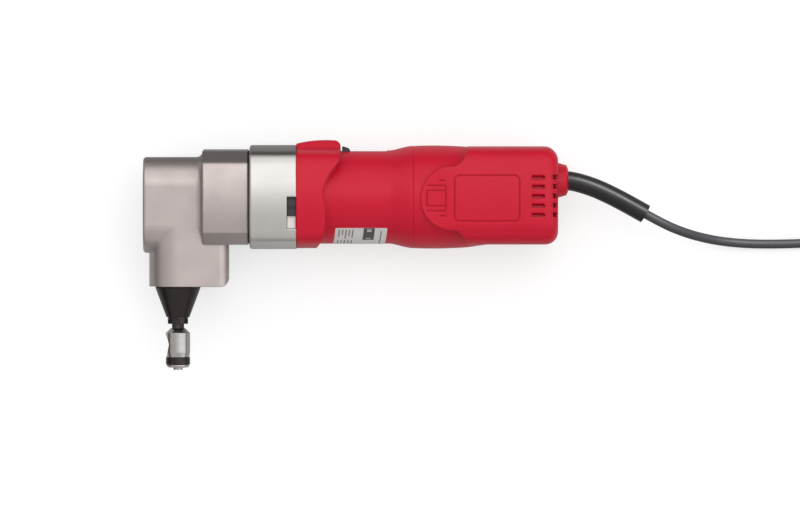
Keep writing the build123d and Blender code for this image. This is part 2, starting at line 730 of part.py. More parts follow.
with BuildPart() as rear_cover:
    with BuildSketch(side()):
        with BuildLine():
            Polyline((housing_back, 0), (housing_back, bulge_radius - 0.3))
            Spline(
                (housing_back, bulge_radius - 0.3),
                (housing_back + 13, bulge_radius),
                (housing_back + 26, bulge_radius - 0.3),
                (pad_nose_x + 10.7, cover_top - 0.1),
                (pad_nose_x + 20.7, (cover_top + cover_bottom) / 2 - 0.4),
                (pad_nose_x + 30.7, cover_bottom - 0.1),
                tangents=((1, 0.05), (1, -0.06)),
            )
            Polyline(
                (pad_nose_x + 30.7, cover_bottom - 0.1),
                (cover_back - 12, cover_bottom - 1.8),
                (cover_back - 12, 0),
                (housing_back, 0),
            )
        make_face()
    revolve(axis=motor_axis)
    add(cover_body.part)
    with BuildSketch(side()):
        add(
            outline(
                (cover_back - 10.0, boss_y),
                (cover_back - 10.0, boss_y + boss_radius + 0.6),
                (cover_back, boss_y + boss_radius),
                (cover_back + boss_length - 1.2, boss_y + boss_radius - 1.6),
                (cover_back + boss_length, boss_y + sleeve_radius + 1.0),
                (cover_back + boss_length, boss_y),
            )
        )
    revolve(axis=boss_axis)
    add(cover_core.part, mode=Mode.SUBTRACT)
    with BuildSketch(across(housing_back)):
        Circle(cover_bore)
    extrude(amount=core_front_x - housing_back + 1.0, mode=Mode.SUBTRACT)
    with BuildSketch(across(cover_back - 20.0, boss_y)):
        Circle(sleeve_radius + 0.4)
    extrude(amount=20.0 + boss_length + 1.0, mode=Mode.SUBTRACT)
    # Posts for the two cover screws
    with BuildSketch(across(post_front)):
        with Locations((-post_offset, -post_offset), (-post_offset, post_offset)):
            Circle(4.8)
    extrude(amount=cover_back - 1.0 - post_front)
    with BuildSketch(across(post_front)):
        with Locations((-post_offset, -post_offset), (-post_offset, post_offset)):
            Circle(screw_radius + 0.2)
    extrude(amount=cover_back - post_front, mode=Mode.SUBTRACT)
    with BuildSketch(across(post_screw_head)):
        with Locations((-post_offset, -post_offset), (-post_offset, post_offset)):
            Circle(screw_head_radius + 0.2)
    extrude(amount=cover_back - post_screw_head, mode=Mode.SUBTRACT)
    # Cord clamp bosses on the far wall
    with BuildSketch(side(cover_wall - axis_height - 0.5)):
        with Locations((clamp_x, boss_y - 11.0), (clamp_x, boss_y + 11.0)):
            Circle(3.6)
    extrude(amount=axis_height - cover_wall + 0.5 - cord_radius)
    # Vents through both side walls, and the slots round the back edges
    for face_side in (-1, 1):
        with BuildSketch(side(face_side * axis_height)):
            for row in vent_rows:
                with Locations((vent_front + (vent_length - vent_width / 2) / 2, row)):
                    Rectangle(vent_length - vent_width / 2, vent_width)
                with Locations((vent_front + vent_length - vent_width / 2, row)):
                    Circle(vent_width / 2)
        extrude(amount=cover_wall + 1.4, dir=(0, -vent_slope, -face_side), mode=Mode.SUBTRACT)
        with BuildSketch(side(face_side * axis_height)):
            for row in vent_rows:
                with Locations((cover_back - 1.6, row)):
                    Rectangle(5.2, vent_width)
        extrude(amount=-face_side * 13.0, mode=Mode.SUBTRACT)
        # Bare badge panel outlined by a groove, and the grip ribs in front of it
        with BuildSketch(side(face_side * axis_height)):
            with Locations((panel_x, 0)):
                RectangleRounded(panel_length, panel_width, panel_corner)
                RectangleRounded(
                    panel_length - 2 * groove_width,
                    panel_width - 2 * groove_width,
                    panel_corner - groove_width,
                    mode=Mode.SUBTRACT,
                )
            for rib_y, rib_start in rib_rows:
                with Locations(((rib_start + rib_end) / 2, -rib_y), ((rib_start + rib_end) / 2, rib_y)):
                    Rectangle(rib_end - rib_start, groove_width)
            with Locations((rib_front, 0)):
                Rectangle(groove_width, 2 * rib_rows[0][0])
            with Locations((rib_end, 0)):
                Rectangle(groove_width, 2 * rib_rows[1][0])
        extrude(amount=-face_side * groove, mode=Mode.SUBTRACT)
save(rear_cover.part, "rear_cover")

with BuildPart() as rear_cover_screws:
    with BuildSketch(across(cover_screw_end)):
        with Locations((-post_offset, -post_offset), (-post_offset, post_offset)):
            Circle(screw_radius)
    extrude(amount=post_screw_head - cover_screw_end)
    with BuildSketch(across(post_screw_head)):
        with Locations((-post_offset, -post_offset), (-post_offset, post_offset)):
            Circle(screw_head_radius)
    extrude(amount=2.6)
    with BuildSketch(across(post_screw_head + 1.2)):
        with Locations((-post_offset, -post_offset), (-post_offset, post_offset)):
            Rectangle(4.4, 0.9)
            Rectangle(0.9, 4.4)
    extrude(amount=1.4, mode=Mode.SUBTRACT)
save(rear_cover_screws.part, "rear_cover_screws")

# Motor: armature shaft with its cut pinion
with BuildPart() as armature_shaft:
    with BuildSketch(across(motor_pinion_x)):
        add(gear_teeth(first_pinion_teeth, first_module, 1.0, 0.8, 0.0))
    extrude(amount=motor_pinion_width)
    with BuildSketch(across(motor_pinion_x + motor_pinion_width)):
        Circle(first_pinion_teeth * first_module / 2 + first_module)
    extrude(amount=armature_bearing_x - motor_pinion_x - motor_pinion_width - 1.0)
    with BuildSketch(across(armature_bearing_x - 1.0)):
        Circle(shaft_radius)
    extrude(amount=armature_rear_x - armature_bearing_x + 1.0)
    with BuildSketch(across(armature_rear_x)):
        Circle(rear_bearing[0])
    extrude(amount=rear_bearing[2] + 0.5)
save(armature_shaft.part, "armature_shaft")

slot_count = 12
slot_mouth_depth = 2.4
slot_mouth_width = 1.4
slot_mouth_inset = 1.0
wire_slot_depth = 5.2
wire_slot_width = 3.4
slot_corner = 1.2
slot_inset = 4.4
with BuildPart() as armature_core:
    with BuildSketch(across(stator_front)):
        Circle(armature_radius)
        Circle(shaft_radius, mode=Mode.SUBTRACT)
        with PolarLocations(armature_radius - slot_mouth_inset, slot_count):
            Rectangle(slot_mouth_depth, slot_mouth_width, mode=Mode.SUBTRACT)
        with PolarLocations(armature_radius - slot_inset, slot_count):
            RectangleRounded(wire_slot_depth, wire_slot_width, slot_corner, mode=Mode.SUBTRACT)
    extrude(amount=stator_back - stator_front)
save(armature_core.part, "armature_core")

winding_overhang = 7.5
winding_height = 10.0
winding_corner = 3.0
winding_seat = 0.2
slot_liner = 0.2
with BuildPart() as armature_winding:
    with BuildSketch(across(stator_front)):
        with PolarLocations(armature_radius - slot_inset, slot_count):
            RectangleRounded(
                wire_slot_depth - 2 * slot_liner,
                wire_slot_width - 2 * slot_liner,
                slot_corner - slot_liner / 2,
            )
    extrude(amount=stator_back - stator_front)
    winding_middle = shaft_radius + winding_seat + winding_height / 2
    with BuildSketch(side()) as winding_profile:
        for start in (stator_front - winding_overhang, stator_back):
            with Locations((start + winding_overhang / 2, winding_middle)):
                Rectangle(winding_overhang, winding_height)
        fillet(winding_profile.vertices().group_by(Axis.Y)[-1], radius=winding_corner)
    revolve(axis=motor_axis)
save(armature_winding.part, "armature_winding")

commutator_gap = 3.0
commutator_front = stator_back + winding_overhang + commutator_gap
commutator_length = 14.0
riser_height = 1.8
riser_length = 2.0
bar_slot_depth = 3.0
bar_slot_width = 0.5
bar_slot_bottom = 0.8
with BuildPart() as commutator:
    with BuildSketch(side()):
        add(
            outline(
                (commutator_front, shaft_radius),
                (commutator_front, commutator_radius + riser_height),
                (commutator_front + riser_length, commutator_radius + riser_height),
                (commutator_front + riser_length, commutator_radius),
                (commutator_front + commutator_length, commutator_radius),
                (commutator_front + commutator_length, shaft_radius),
            )
        )
    revolve(axis=motor_axis)
    with BuildSketch(across(commutator_front)):
        with PolarLocations(commutator_radius - bar_slot_bottom + bar_slot_depth / 2, 2 * slot_count):
            Rectangle(bar_slot_depth, bar_slot_width)
    extrude(amount=commutator_length, mode=Mode.SUBTRACT)
save(commutator.part, "commutator")

blade_count = 14
fan_gap = 2.0
fan_front = web_back + fan_gap
fan_length = 10.0
fan_disc = 1.4
fan_hub_front = 9.0
fan_hub_back = 8.0
blade_start = 1.0
blade_shortening = 1.5
blade_margin = 0.25
blade_thickness = 1.2
blade_angle = 18.0
with BuildPart() as cooling_fan:
    with BuildSketch(side()):
        add(
            outline(
                (fan_front, shaft_radius),
                (fan_front, fan_radius),
                (fan_front + fan_disc, fan_radius),
                (fan_front + fan_disc, fan_hub_front),
                (fan_front + fan_length, fan_hub_back),
                (fan_front + fan_length, shaft_radius),
            )
        )
    revolve(axis=motor_axis)
    with BuildSketch(across(fan_front + blade_start)):
        with PolarLocations((fan_radius + fan_hub_back) / 2, blade_count):
            blade_span = fan_radius - fan_hub_back - 2 * blade_margin
            Rectangle(blade_span, blade_thickness, rotation=blade_angle)
    extrude(amount=fan_length - blade_start - blade_shortening)
save(cooling_fan.part, "cooling_fan")

save(bearing(armature_bearing_x, 0, *main_bearing), "armature_front_bearing")
save(bearing(armature_rear_x, 0, *rear_bearing), "armature_rear_bearing")

coil_window_width = 19.0
coil_window_height = 7.6
coil_window_rise = 1.6
with BuildPart() as stator_core:
    with BuildSketch(across(stator_front)):
        Circle(stator_radius)
        Circle(pole_bore, mode=Mode.SUBTRACT)
        with Locations((0, pole_bore + coil_window_rise), (0, -pole_bore - coil_window_rise)):
            Rectangle(coil_window_width, coil_window_height, mode=Mode.SUBTRACT)
    extrude(amount=stator_back - stator_front)
save(stator_core.part, "stator_core")

coil_overhang = 6.0
coil_end_length = 5.6
coil_depth = 5.0
coil_gap = 0.6
coil_split = 2.0
coil_bar_inset = 1.0
coil_bar_offset = 6.4
coil_bar_rise = 2.9
coil_bar_width = 5.4
coil_bar_height = 4.2
with BuildPart() as field_coils:
    coil_front = stator_front - coil_overhang
    coil_back = stator_back + coil_overhang
    for end_x in (coil_front, coil_back - coil_end_length):
        with BuildSketch(across(end_x)):
            Circle(pole_bore + coil_depth)
            Circle(pole_bore + coil_gap, mode=Mode.SUBTRACT)
            Rectangle(4 * pole_bore, coil_split, mode=Mode.SUBTRACT)
        extrude(amount=coil_end_length)
    with BuildSketch(across(coil_front + coil_bar_inset)):
        for bar_y in (-coil_bar_offset, coil_bar_offset):
            for bar_side in (-1, 1):
                with Locations((bar_y, bar_side * (pole_bore + coil_bar_rise))):
                    Rectangle(coil_bar_width, coil_bar_height)
        Circle(pole_bore + coil_gap, mode=Mode.SUBTRACT)
    extrude(amount=coil_back - coil_front - 2 * coil_bar_inset)
save(field_coils.part, "field_coils")

# Brush gear: holders from the bridge arms' plane, carbons and their springs
brush_shift = 1.0
brush_x = commutator_front + commutator_length / 2 + brush_shift
brush_end_gap = 0.8
brush_end = grip_radius - shell_wall - brush_end_gap
carbon_gap = 0.3
carbon_length = 9.0
carbon_width = 6.0
carbon_height = 8.0
carbon_clearance = 0.05
holder_gap = 1.4
holder_width = 8.4
holder_height = 11.0
holder_foot_gap = 3.0
holder_foot_length = 8.0
holder_foot_thickness = 3.0
spring_radius = 2.7
spring_bore = 1.7
with BuildPart() as brush_holders:
    for brush_side in (-1, 1):
        with BuildSketch(side(brush_side * (commutator_radius + holder_gap))):
            with Locations((brush_x, 0)):
                Rectangle(holder_width, holder_height)
                Rectangle(
                    carbon_width + 2 * carbon_clearance,
                    carbon_height + 2 * carbon_clearance,
                    mode=Mode.SUBTRACT,
                )
        extrude(amount=brush_side * (brush_end - commutator_radius - holder_gap))
        with BuildSketch(side(brush_side * (commutator_radius + holder_foot_gap))):
            with Locations((brush_x + (holder_width + holder_foot_length) / 2, 0)):
                Rectangle(holder_foot_length, holder_height)
        extrude(amount=brush_side * holder_foot_thickness)
save(brush_holders.part, "brush_holders")

with BuildPart() as carbon_brushes:
    for brush_side in (-1, 1):
        with BuildSketch(side(brush_side * (commutator_radius + carbon_gap))):
            with Locations((brush_x, 0)):
                Rectangle(carbon_width, carbon_height)
        extrude(amount=brush_side * carbon_length)
save(carbon_brushes.part, "carbon_brushes")

with BuildPart() as brush_springs:
    for brush_side in (-1, 1):
        with BuildSketch(side(brush_side * (commutator_radius + carbon_gap + carbon_length))):
            with Locations((brush_x, 0)):
                Circle(spring_radius)
                Circle(spring_bore, mode=Mode.SUBTRACT)
        extrude(amount=brush_side * (brush_end - commutator_radius - carbon_gap - carbon_length))
save(brush_springs.part, "brush_springs")

# Layshaft with its pinion, its gear and its bearings
layshaft_front_x = plate_back - small_bearing[2]
second_pinion_x = plate_back + 0.3
with BuildPart() as layshaft:
    with BuildSketch(across(layshaft_front_x, -shaft_spacing)):
        Circle(small_bearing[0])
    extrude(amount=layshaft_rear_x + small_bearing[2] - layshaft_front_x)
    with BuildSketch(across(second_pinion_x, -shaft_spacing)):
        add(gear_teeth(second_pinion_teeth, second_module, 1.0, 0.82, 180.0 / second_pinion_teeth))
    extrude(amount=second_pinion_width)
    with BuildSketch(across(second_pinion_x + second_pinion_width, -shaft_spacing)):
        Circle(second_pinion_teeth * second_module / 2 - 0.8 * second_module)
    extrude(amount=first_gear_x + first_gear_width - second_pinion_x - second_pinion_width)
save(layshaft.part, "layshaft")

layshaft_seat = second_pinion_teeth * second_module / 2 - 0.8 * second_module
with BuildPart() as layshaft_gear:
    with BuildSketch(across(first_gear_x, -shaft_spacing)):
        add(gear_teeth(first_gear_teeth, first_module, 0.6, 1.2, 180.0 / first_gear_teeth))
        Circle(layshaft_seat, mode=Mode.SUBTRACT)
    extrude(amount=first_gear_width)
    with BuildSketch(
        across(first_gear_x, -shaft_spacing),
        across(first_gear_x + first_gear_width - 1.6, -shaft_spacing),
    ):
        Circle(9.6)
        Circle(layshaft_seat + 2.0, mode=Mode.SUBTRACT)
    extrude(amount=1.6, mode=Mode.SUBTRACT)
save(layshaft_gear.part, "layshaft_gear")

save(bearing(layshaft_front_x, -shaft_spacing, *small_bearing), "layshaft_front_bearing")
save(bearing(layshaft_rear_x, -shaft_spacing, *small_bearing), "layshaft_rear_bearing")

# Crankshaft with its eccentric, at the bottom of the stroke
rod_x = die_x - rod_width / 2
journal_step = 3.0
crank_end_gap = 0.4
eccentric_front_margin = 0.4
eccentric_back_margin = 1.0
with BuildPart() as crankshaft:
    journal_front = rod_x - journal_step
    with BuildSketch(across(journal_front)):
        Circle(crank_journal)
    extrude(amount=crank_end_x - journal_front)
    with BuildSketch(across(crank_front_x + crank_end_gap)):
        Circle(crank_front_journal)
    extrude(amount=journal_front - crank_front_x - crank_end_gap)
    with BuildSketch(across(rod_x - eccentric_front_margin, -throw)):
        Circle(eccentric_radius)
    extrude(amount=eccentric_front_margin + rod_width + eccentric_back_margin)
save(crankshaft.part, "crankshaft")

crank_gear_recess = 1.6
crank_gear_rim = 9.0
crank_gear_hub = 2.2
with BuildPart() as crank_gear:
    with BuildSketch(across(crank_gear_x)):
        add(gear_teeth(second_gear_teeth, second_module, 0.64, 1.2, 0.0))
        Circle(crank_journal, mode=Mode.SUBTRACT)
    extrude(amount=crank_gear_width)
    with BuildSketch(across(crank_gear_x), across(crank_gear_x + crank_gear_width - crank_gear_recess)):
        Circle(crank_gear_rim)
        Circle(crank_journal + crank_gear_hub, mode=Mode.SUBTRACT)
    extrude(amount=crank_gear_recess, mode=Mode.SUBTRACT)
save(crank_gear.part, "crank_gear")

save(bearing(crank_front_x, 0, *front_bearing), "crank_front_bearing")
save(bearing(crank_bearing_x, 0, *main_bearing), "crank_rear_bearing")

# Connecting rod and wrist pin, upright at the bottom of the stroke
with BuildPart() as connecting_rod:
    with BuildSketch(across(rod_x, -throw)):
        Circle(rod_eye_radius)
        with Locations((throw - wrist_depth, 0)):
            Circle(small_end_radius)
        with Locations(((throw - wrist_depth) / 2, 0)):
            Rectangle(wrist_depth - throw, 7.0)
        Circle(eccentric_radius + run_gap, mode=Mode.SUBTRACT)
        with Locations((throw - wrist_depth, 0)):
            Circle(wrist_pin_radius, mode=Mode.SUBTRACT)
    extrude(amount=rod_width)
save(connecting_rod.part, "connecting_rod")

wrist_pin_overhang = 3.0
save(
    disc(
        rod_x - wrist_pin_overhang,
        wrist_pin_radius,
        rod_width + 2 * wrist_pin_overhang,
        y=-wrist_depth,
    ),
    "wrist_pin",
)

# Ram: forked head over the rod's small end, nose with the pocket for the punch head
fork_floor = wrist_depth + small_end_radius + stroke + 0.5
pin_track_floor = wrist_depth + wrist_pin_radius + stroke + 0.3
head_pocket_radius = 5.8
retainer_hole = neck_radius + 0.3
punch_head_top = 50.2
punch_head_length = 3.0
retainer_length = 4.2
with BuildPart() as ram:
    with BuildSketch(level(ram_top_depth)):
        Circle(ram_radius)
    extrude(amount=ram_foot_depth - ram_top_depth)
    with BuildSketch(level(ram_foot_depth)):
        Circle(ram_nose_radius)
    extrude(amount=ram_nose_depth - ram_foot_depth)
    with BuildSketch(level(ram_top_depth)):
        Rectangle(rod_width + 0.6, 2 * (small_end_radius + throw + 0.4))
    extrude(amount=fork_floor - ram_top_depth, mode=Mode.SUBTRACT)
    with BuildSketch(level(ram_top_depth)):
        Rectangle(
            rod_width + 2 * wrist_pin_overhang + 0.6,
            2 * (wrist_pin_radius + throw + 0.25),
        )
    extrude(amount=pin_track_floor - ram_top_depth, mode=Mode.SUBTRACT)
    with BuildSketch(level(punch_head_top - 0.3)):
        Circle(head_pocket_radius)
    extrude(amount=ram_nose_depth - punch_head_top + 0.3, mode=Mode.SUBTRACT)
save(ram.part, "ram")

with BuildPart() as punch_retainer:
    with BuildSketch(level(ram_nose_depth - retainer_length - 0.2)):
        Circle(head_pocket_radius)
        Circle(retainer_hole, mode=Mode.SUBTRACT)
    extrude(amount=retainer_length)
save(punch_retainer.part, "punch_retainer")

# Punch: round head, D-section blade that slides on the flat of the holder's neck
punch_flat = neck_flat - 0.08
throat_depth = stripper_depth + throat
with BuildPart() as punch:
    with BuildSketch(level(punch_head_top)):
        Circle(head_pocket_radius - 0.2)
    extrude(amount=punch_head_length)
    with BuildSketch(level(punch_head_top + punch_head_length)):
        Circle(neck_radius - 0.1)
        with Locations((punch_flat + neck_radius, 0)):
            Rectangle(2 * neck_radius, 3 * neck_radius, mode=Mode.SUBTRACT)
    extrude(amount=throat_depth + punch_entry - punch_head_top - punch_head_length)
save(punch.part, "punch")

# Die holder: flange, sleeve, castellated stripper collar, half-round neck and round tail
sleeve_outer = 9.0
sleeve_inner = ram_nose_radius + 0.25
sleeve_floor = ram_nose_depth + 2.0
sleeve_end = 66.0
die_end = throat_depth + die_length
tail_end = die_end + lock_ring_length
chip_ramp_top = throat_depth + 8.0
chip_ramp_foot = die_end - 3.5
holder_bottom = flange_seat_depth + holder_flange
slot_width = 2.6
with BuildPart() as die_holder:
    with BuildSketch(level(flange_seat_depth)):
        Circle(nut_thread_radius - 0.1)
    extrude(amount=holder_flange)
    with BuildSketch(level(holder_bottom)):
        Circle(sleeve_outer)
    extrude(amount=sleeve_end - holder_bottom)
    with BuildSketch(level(sleeve_end)):
        Circle(stripper_radius)
    extrude(amount=stripper_depth - sleeve_end)
    with BuildSketch(level(stripper_depth)):
        Circle(neck_radius)
    extrude(amount=tail_end - stripper_depth)
    with BuildSketch(level(flange_seat_depth)):
        Circle(sleeve_inner)
    extrude(amount=sleeve_floor - flange_seat_depth, mode=Mode.SUBTRACT)
    # Passage for the punch down to the slanted chip ramp
    with BuildSketch(level(sleeve_floor)):
        Circle(neck_radius + 0.02)
        with Locations((neck_flat + 1.5 * neck_radius, 0)):
            Rectangle(3 * neck_radius, 3 * neck_radius, mode=Mode.SUBTRACT)
    extrude(amount=chip_ramp_top - sleeve_floor, mode=Mode.SUBTRACT)
    with BuildSketch(side()):
        add(
            outline(
                (die_x + neck_flat, -chip_ramp_top + 0.01),
                (die_x + neck_flat, -chip_ramp_top),
                (die_x - neck_radius - 0.5, -chip_ramp_foot),
                (die_x - neck_radius - 0.5, -chip_ramp_top + 0.01),
            )
        )
    extrude(amount=neck_radius + 0.02, both=True, mode=Mode.SUBTRACT)
    # Castellations for the pin wrench
    with BuildSketch(level(stripper_depth - 3.0)):
        with PolarLocations(stripper_radius, 6, start_angle=30.0):
            Rectangle(2.2, slot_width)
    extrude(amount=3.0, mode=Mode.SUBTRACT)
    # Tapped hole for the end screw
    with BuildSketch(level(chip_ramp_foot + 0.5)):
        Circle(2.0)
    extrude(amount=tail_end - chip_ramp_foot - 0.5, mode=Mode.SUBTRACT)
save(die_holder.part, "die_holder")

# Die: ground round body with a bored middle, chip notch and window at the front
notch_deep = 2.1
with BuildPart() as die:
    with BuildSketch(side()):
        add(
            outline(
                (die_x + neck_radius + 0.05, -throat_depth),
                (die_x + neck_radius + 0.7, -throat_depth),
                (die_x + die_radius, -throat_depth - die_cone),
                (die_x + die_radius, -die_end + 3.0),
                (die_x + die_radius - 0.5, -die_end),
                (die_x + neck_radius + 0.05, -die_end),
            )
        )
    revolve(axis=die_axis)
    with BuildSketch(side()):
        with BuildLine():
            notch_top_y = -throat_depth - die_cone - 0.8
            notch_low_y = -die_end + 0.4
            notch_mid_y = notch_top_y - 6.6
            Polyline(
                (die_x - die_radius - 1, notch_low_y),
                (die_x - die_radius - 1, notch_top_y),
                (die_x - die_radius, notch_top_y),
            )
            ThreePointArc(
                (die_x - die_radius, notch_top_y),
                (die_x - die_radius + 1.3, notch_top_y - 3.6),
                (die_x - die_radius + notch_deep, notch_mid_y),
            )
            Polyline(
                (die_x - die_radius + notch_deep, notch_mid_y),
                (die_x - die_radius + 0.6, notch_low_y),
                (die_x - die_radius - 1, notch_low_y),
            )
        make_face()
    extrude(amount=die_radius, both=True, mode=Mode.SUBTRACT)
    window = Plane(origin=(die_x, 0, axis_height), x_dir=(0, 0, 1), z_dir=(-1, 0, 0))
    with BuildSketch(window):
        with Locations((0, -(throat_depth + 5.0 + die_end - 2.0) / 2)):
            RectangleRounded(6.4, die_end - 2.0 - throat_depth - 5.0, 2.0)
    extrude(amount=die_radius + 1, mode=Mode.SUBTRACT)
save(die.part, "die")

with BuildPart() as die_lock_ring:
    with BuildSketch(level(die_end)):
        Circle(die_radius)
        Circle(neck_radius + 0.05, mode=Mode.SUBTRACT)
    extrude(amount=lock_ring_length)
    chamfer(die_lock_ring.edges().filter_by(GeomType.CIRCLE).sort_by(SortBy.RADIUS)[-2:], length=0.4)
save(die_lock_ring.part, "die_lock_ring")

with BuildPart() as die_screw:
    with BuildSketch(side()):
        add(
            outline(
                (die_x, -chip_ramp_foot - 0.7),
                (die_x + 1.95, -chip_ramp_foot - 0.7),
                (die_x + 1.95, -tail_end),
                (die_x + die_radius - 0.5, -tail_end),
                (die_x + die_radius - 0.5, -tail_end - 0.9),
                (die_x + die_radius - 1.6, -tail_end - screw_head_length),
                (die_x + 3.2, -tail_end - screw_head_length),
                (die_x + 3.0, -tail_end - screw_head_length - screw_boss_length),
                (die_x, -tail_end - screw_head_length - screw_boss_length),
            )
        )
    revolve(axis=die_axis)
    with BuildSketch(level(tail_end + screw_head_length + screw_boss_length - 2.2)):
        RegularPolygon(radius=1.75, side_count=6)
    extrude(amount=2.2, mode=Mode.SUBTRACT)
save(die_screw.part, "die_screw")

# Cone nut that clamps the holder's flange in the head
with BuildPart() as die_nut:
    with BuildSketch(side()):
        add(
            outline(
                (die_x + sleeve_outer + run_gap, -holder_bottom - 0.02),
                (die_x + nut_thread_radius - seat_gap, -holder_bottom - 0.02),
                (die_x + nut_thread_radius - seat_gap, -plunger_case_depth),
                (die_x + nut_top_radius - 0.8, -plunger_case_depth),
                (die_x + nut_top_radius, -plunger_case_depth - 1.0),
                (die_x + nut_tip_radius + 0.1, -plunger_case_depth - nut_length),
                (die_x + stripper_radius + run_gap, -plunger_case_depth - nut_length),
                (die_x + stripper_radius + run_gap, -sleeve_end - run_gap),
                (die_x + sleeve_outer + run_gap, -sleeve_end - run_gap),
            )
        )
    revolve(axis=die_axis)
save(die_nut.part, "die_nut")

# Slide switch: thumb piece, link rod, switch block and lead
nose_height = 32.9
slider_front = slot_front + 0.6
with BuildPart() as slide_button:
    with BuildSketch(side()):
        add(
            outline(
                (slider_front, 26.4),
                (slider_front, nose_height - 0.3),
                (slider_front + 0.8, nose_height),
                (slider_front + 4.4, nose_height - 1.2),
                (slider_front + 5.6, grip_radius - 0.8),
                (slider_front + slider_length, grip_radius - 1.2),
                (slider_front + slider_length, 26.4),
            )
        )
    extrude(amount=slot_half_width - 0.25, both=True)
    with BuildSketch(side()):
        for rib in range(6):
            with Locations((slider_front + 8.2 + 2.4 * rib, grip_radius - 0.9)):
                Rectangle(1.1, 1.0)
    extrude(amount=slot_half_width - 1.4, both=True, mode=Mode.SUBTRACT)
    with BuildSketch(side()):
        with Locations(((slot_front + slot_back) / 2, 25.7)):
            Rectangle(slot_back - slot_front + 6.0, 0.9)
    extrude(amount=slot_half_width - 0.2, both=True)
    with BuildSketch(side()):
        with Locations((slider_front + slider_length / 2, 26.3)):
            Rectangle(slider_length, 0.6)
    extrude(amount=slot_half_width - 1.2, both=True)
save(slide_button.part, "slide_button")

switch_front = 103.0
switch_back = 125.0
link_front = (slot_front + slot_back) / 2 + (slot_back - slot_front) / 2 + 3.0
with BuildPart() as switch_link:
    with BuildSketch(side()):
        with Locations(((link_front + switch_front + 6.0) / 2, 25.7)):
            Rectangle(switch_front + 6.0 - link_front, 0.9)
    extrude(amount=2.4, both=True)
save(switch_link.part, "switch_link")

with BuildPart() as switch_block:
    with BuildSketch(side()):
        with Locations(((switch_front + switch_back) / 2, boss_y + 2.0)):
            Rectangle(switch_back - switch_front, 18.0)
    extrude(amount=7.0, both=True)
    with BuildSketch(across(switch_back, boss_y)):
        for pin_z in (-4.0, 4.0):
            with Locations((-4.0, pin_z)):
                Rectangle(2.8, 0.8)
    extrude(amount=5.0)
save(switch_block.part, "switch_block")

lead_front = switch_back
with BuildPart() as supply_lead:
    with BuildSketch(across(lead_front, boss_y)):
        Circle(cord_radius)
    extrude(amount=cover_back - 12.0 - lead_front)
save(supply_lead.part, "supply_lead")

with BuildPart() as cable_clamp:
    with BuildSketch(across(clamp_x - 4.0, boss_y)):
        Rectangle(29.0, 10.0)
        with Locations((0, -5.0)):
            Rectangle(29.0, 4.0, mode=Mode.SUBTRACT)
        Circle(cord_radius, mode=Mode.SUBTRACT)
        with Locations((0, -4.0)):
            Rectangle(2 * cord_radius, 6.0, mode=Mode.SUBTRACT)
    extrude(amount=8.0)
    with BuildSketch(side(-cord_radius)):
        with Locations((clamp_x, boss_y - 11.0), (clamp_x, boss_y + 11.0)):
            Circle(1.7)
    extrude(amount=12.0, mode=Mode.SUBTRACT)
save(cable_clamp.part, "cable_clamp")

with BuildPart() as clamp_screws:
    with BuildSketch(side(-cord_radius)):
        with Locations((clamp_x, boss_y - 11.0), (clamp_x, boss_y + 11.0)):
            Circle(1.5)
    extrude(amount=8.0)
    with BuildSketch(side(5.0)):
        with Locations((clamp_x, boss_y - 11.0), (clamp_x, boss_y + 11.0)):
            Circle(2.8)
    extrude(amount=2.0)
save(clamp_screws.part, "clamp_screws")


def tube(route, radius, name):
    """Round tube on straight runs joined by arcs as large as the runs allow; prints its radii."""
    radii = []
    for before, corner, after in zip(route, route[1:], route[2:]):
        run_in = Vector(*corner) - Vector(*before)
        run_out = Vector(*after) - Vector(*corner)
        turn = run_in.get_angle(run_out)
        radii.append(0.45 * min(run_in.length, run_out.length) / tan(radians(turn / 2)))
    print(name, "bend radii", [round(r, 1) for r in radii])
    with BuildPart() as piece:
        with BuildLine() as path:
            FilletPolyline(*route, radius=radii)
        with BuildSketch(Plane(origin=path.line @ 0, z_dir=path.line % 0)):
            Circle(radius)
        sweep()
    print(name, "length", round(path.wire().length, 1), "volume", round(piece.part.volume, 1))
    return piece.part


# Strain relief and cord: points chosen by hand along the photograph's curve, then on the ground
sleeve_start = cover_back - 12.0
sleeve_route = [
    (sleeve_start, boss_y, 34.0),
    (170.0, boss_y, 34.0),
    (186.0, 6.0, 33.9),
    (201.0, -1.2, 33.3),
    (218.6, -11.0, 31.5),
]
with BuildPart() as cord_sleeve:
    add(tube(sleeve_route, sleeve_radius, "cord_sleeve"))
    with BuildSketch(across(sleeve_start, boss_y)):
        Circle(sleeve_radius + 2.6)
    extrude(amount=3.0)
save(cord_sleeve.part, "cord_sleeve")

cord_route = [
    (218.6, -11.0, 31.5),
    (230.9, -17.85, 30.24),
    (243.6, -23.2, 23.6),
    (256.0, -27.0, 14.2),
    (269.6, -29.8, 6.8),
    (286.0, -31.4, 3.2),
    (307.0, -31.6, 3.0),
    (333.0, -30.6, 3.0),
    (367.0, -30.2, 3.0),
]
save(tube(cord_route, cord_radius, "cord"), "cord")

# Put-away length as one closed ring: the cord comes in on its outer turn and leaves it on top
coil_x = 385.0
coil_y = 12.0
coil_inner = coil_mid_radius - coil_section_width / 2
coil_outer = coil_mid_radius + coil_section_width / 2
with BuildPart() as cord_coil:
    with BuildSketch(Plane(origin=(coil_x, coil_y, 0))):
        Circle(coil_outer)
        Circle(coil_inner, mode=Mode.SUBTRACT)
    extrude(amount=coil_section_height)
    chamfer(cord_coil.edges().filter_by(GeomType.CIRCLE), length=1.5)
save(cord_coil.part, "cord_coil")

plug_x = 428.0
plug_z = 11.0
plug_start = 85.0
tail_route = [
    (427.0, 29.5, 20.6),
    (427.4, 43.0, 19.2),
    (427.9, 57.0, 14.6),
    (plug_x, plug_start - 14.0, plug_z),
    (plug_x, plug_start, plug_z),
]
save(tube(tail_route, cord_radius, "cord_tail"), "cord_tail")

# Moulded two-pin plug lying beside the coil
plug_length = 34.0
plug_neck = 11.0


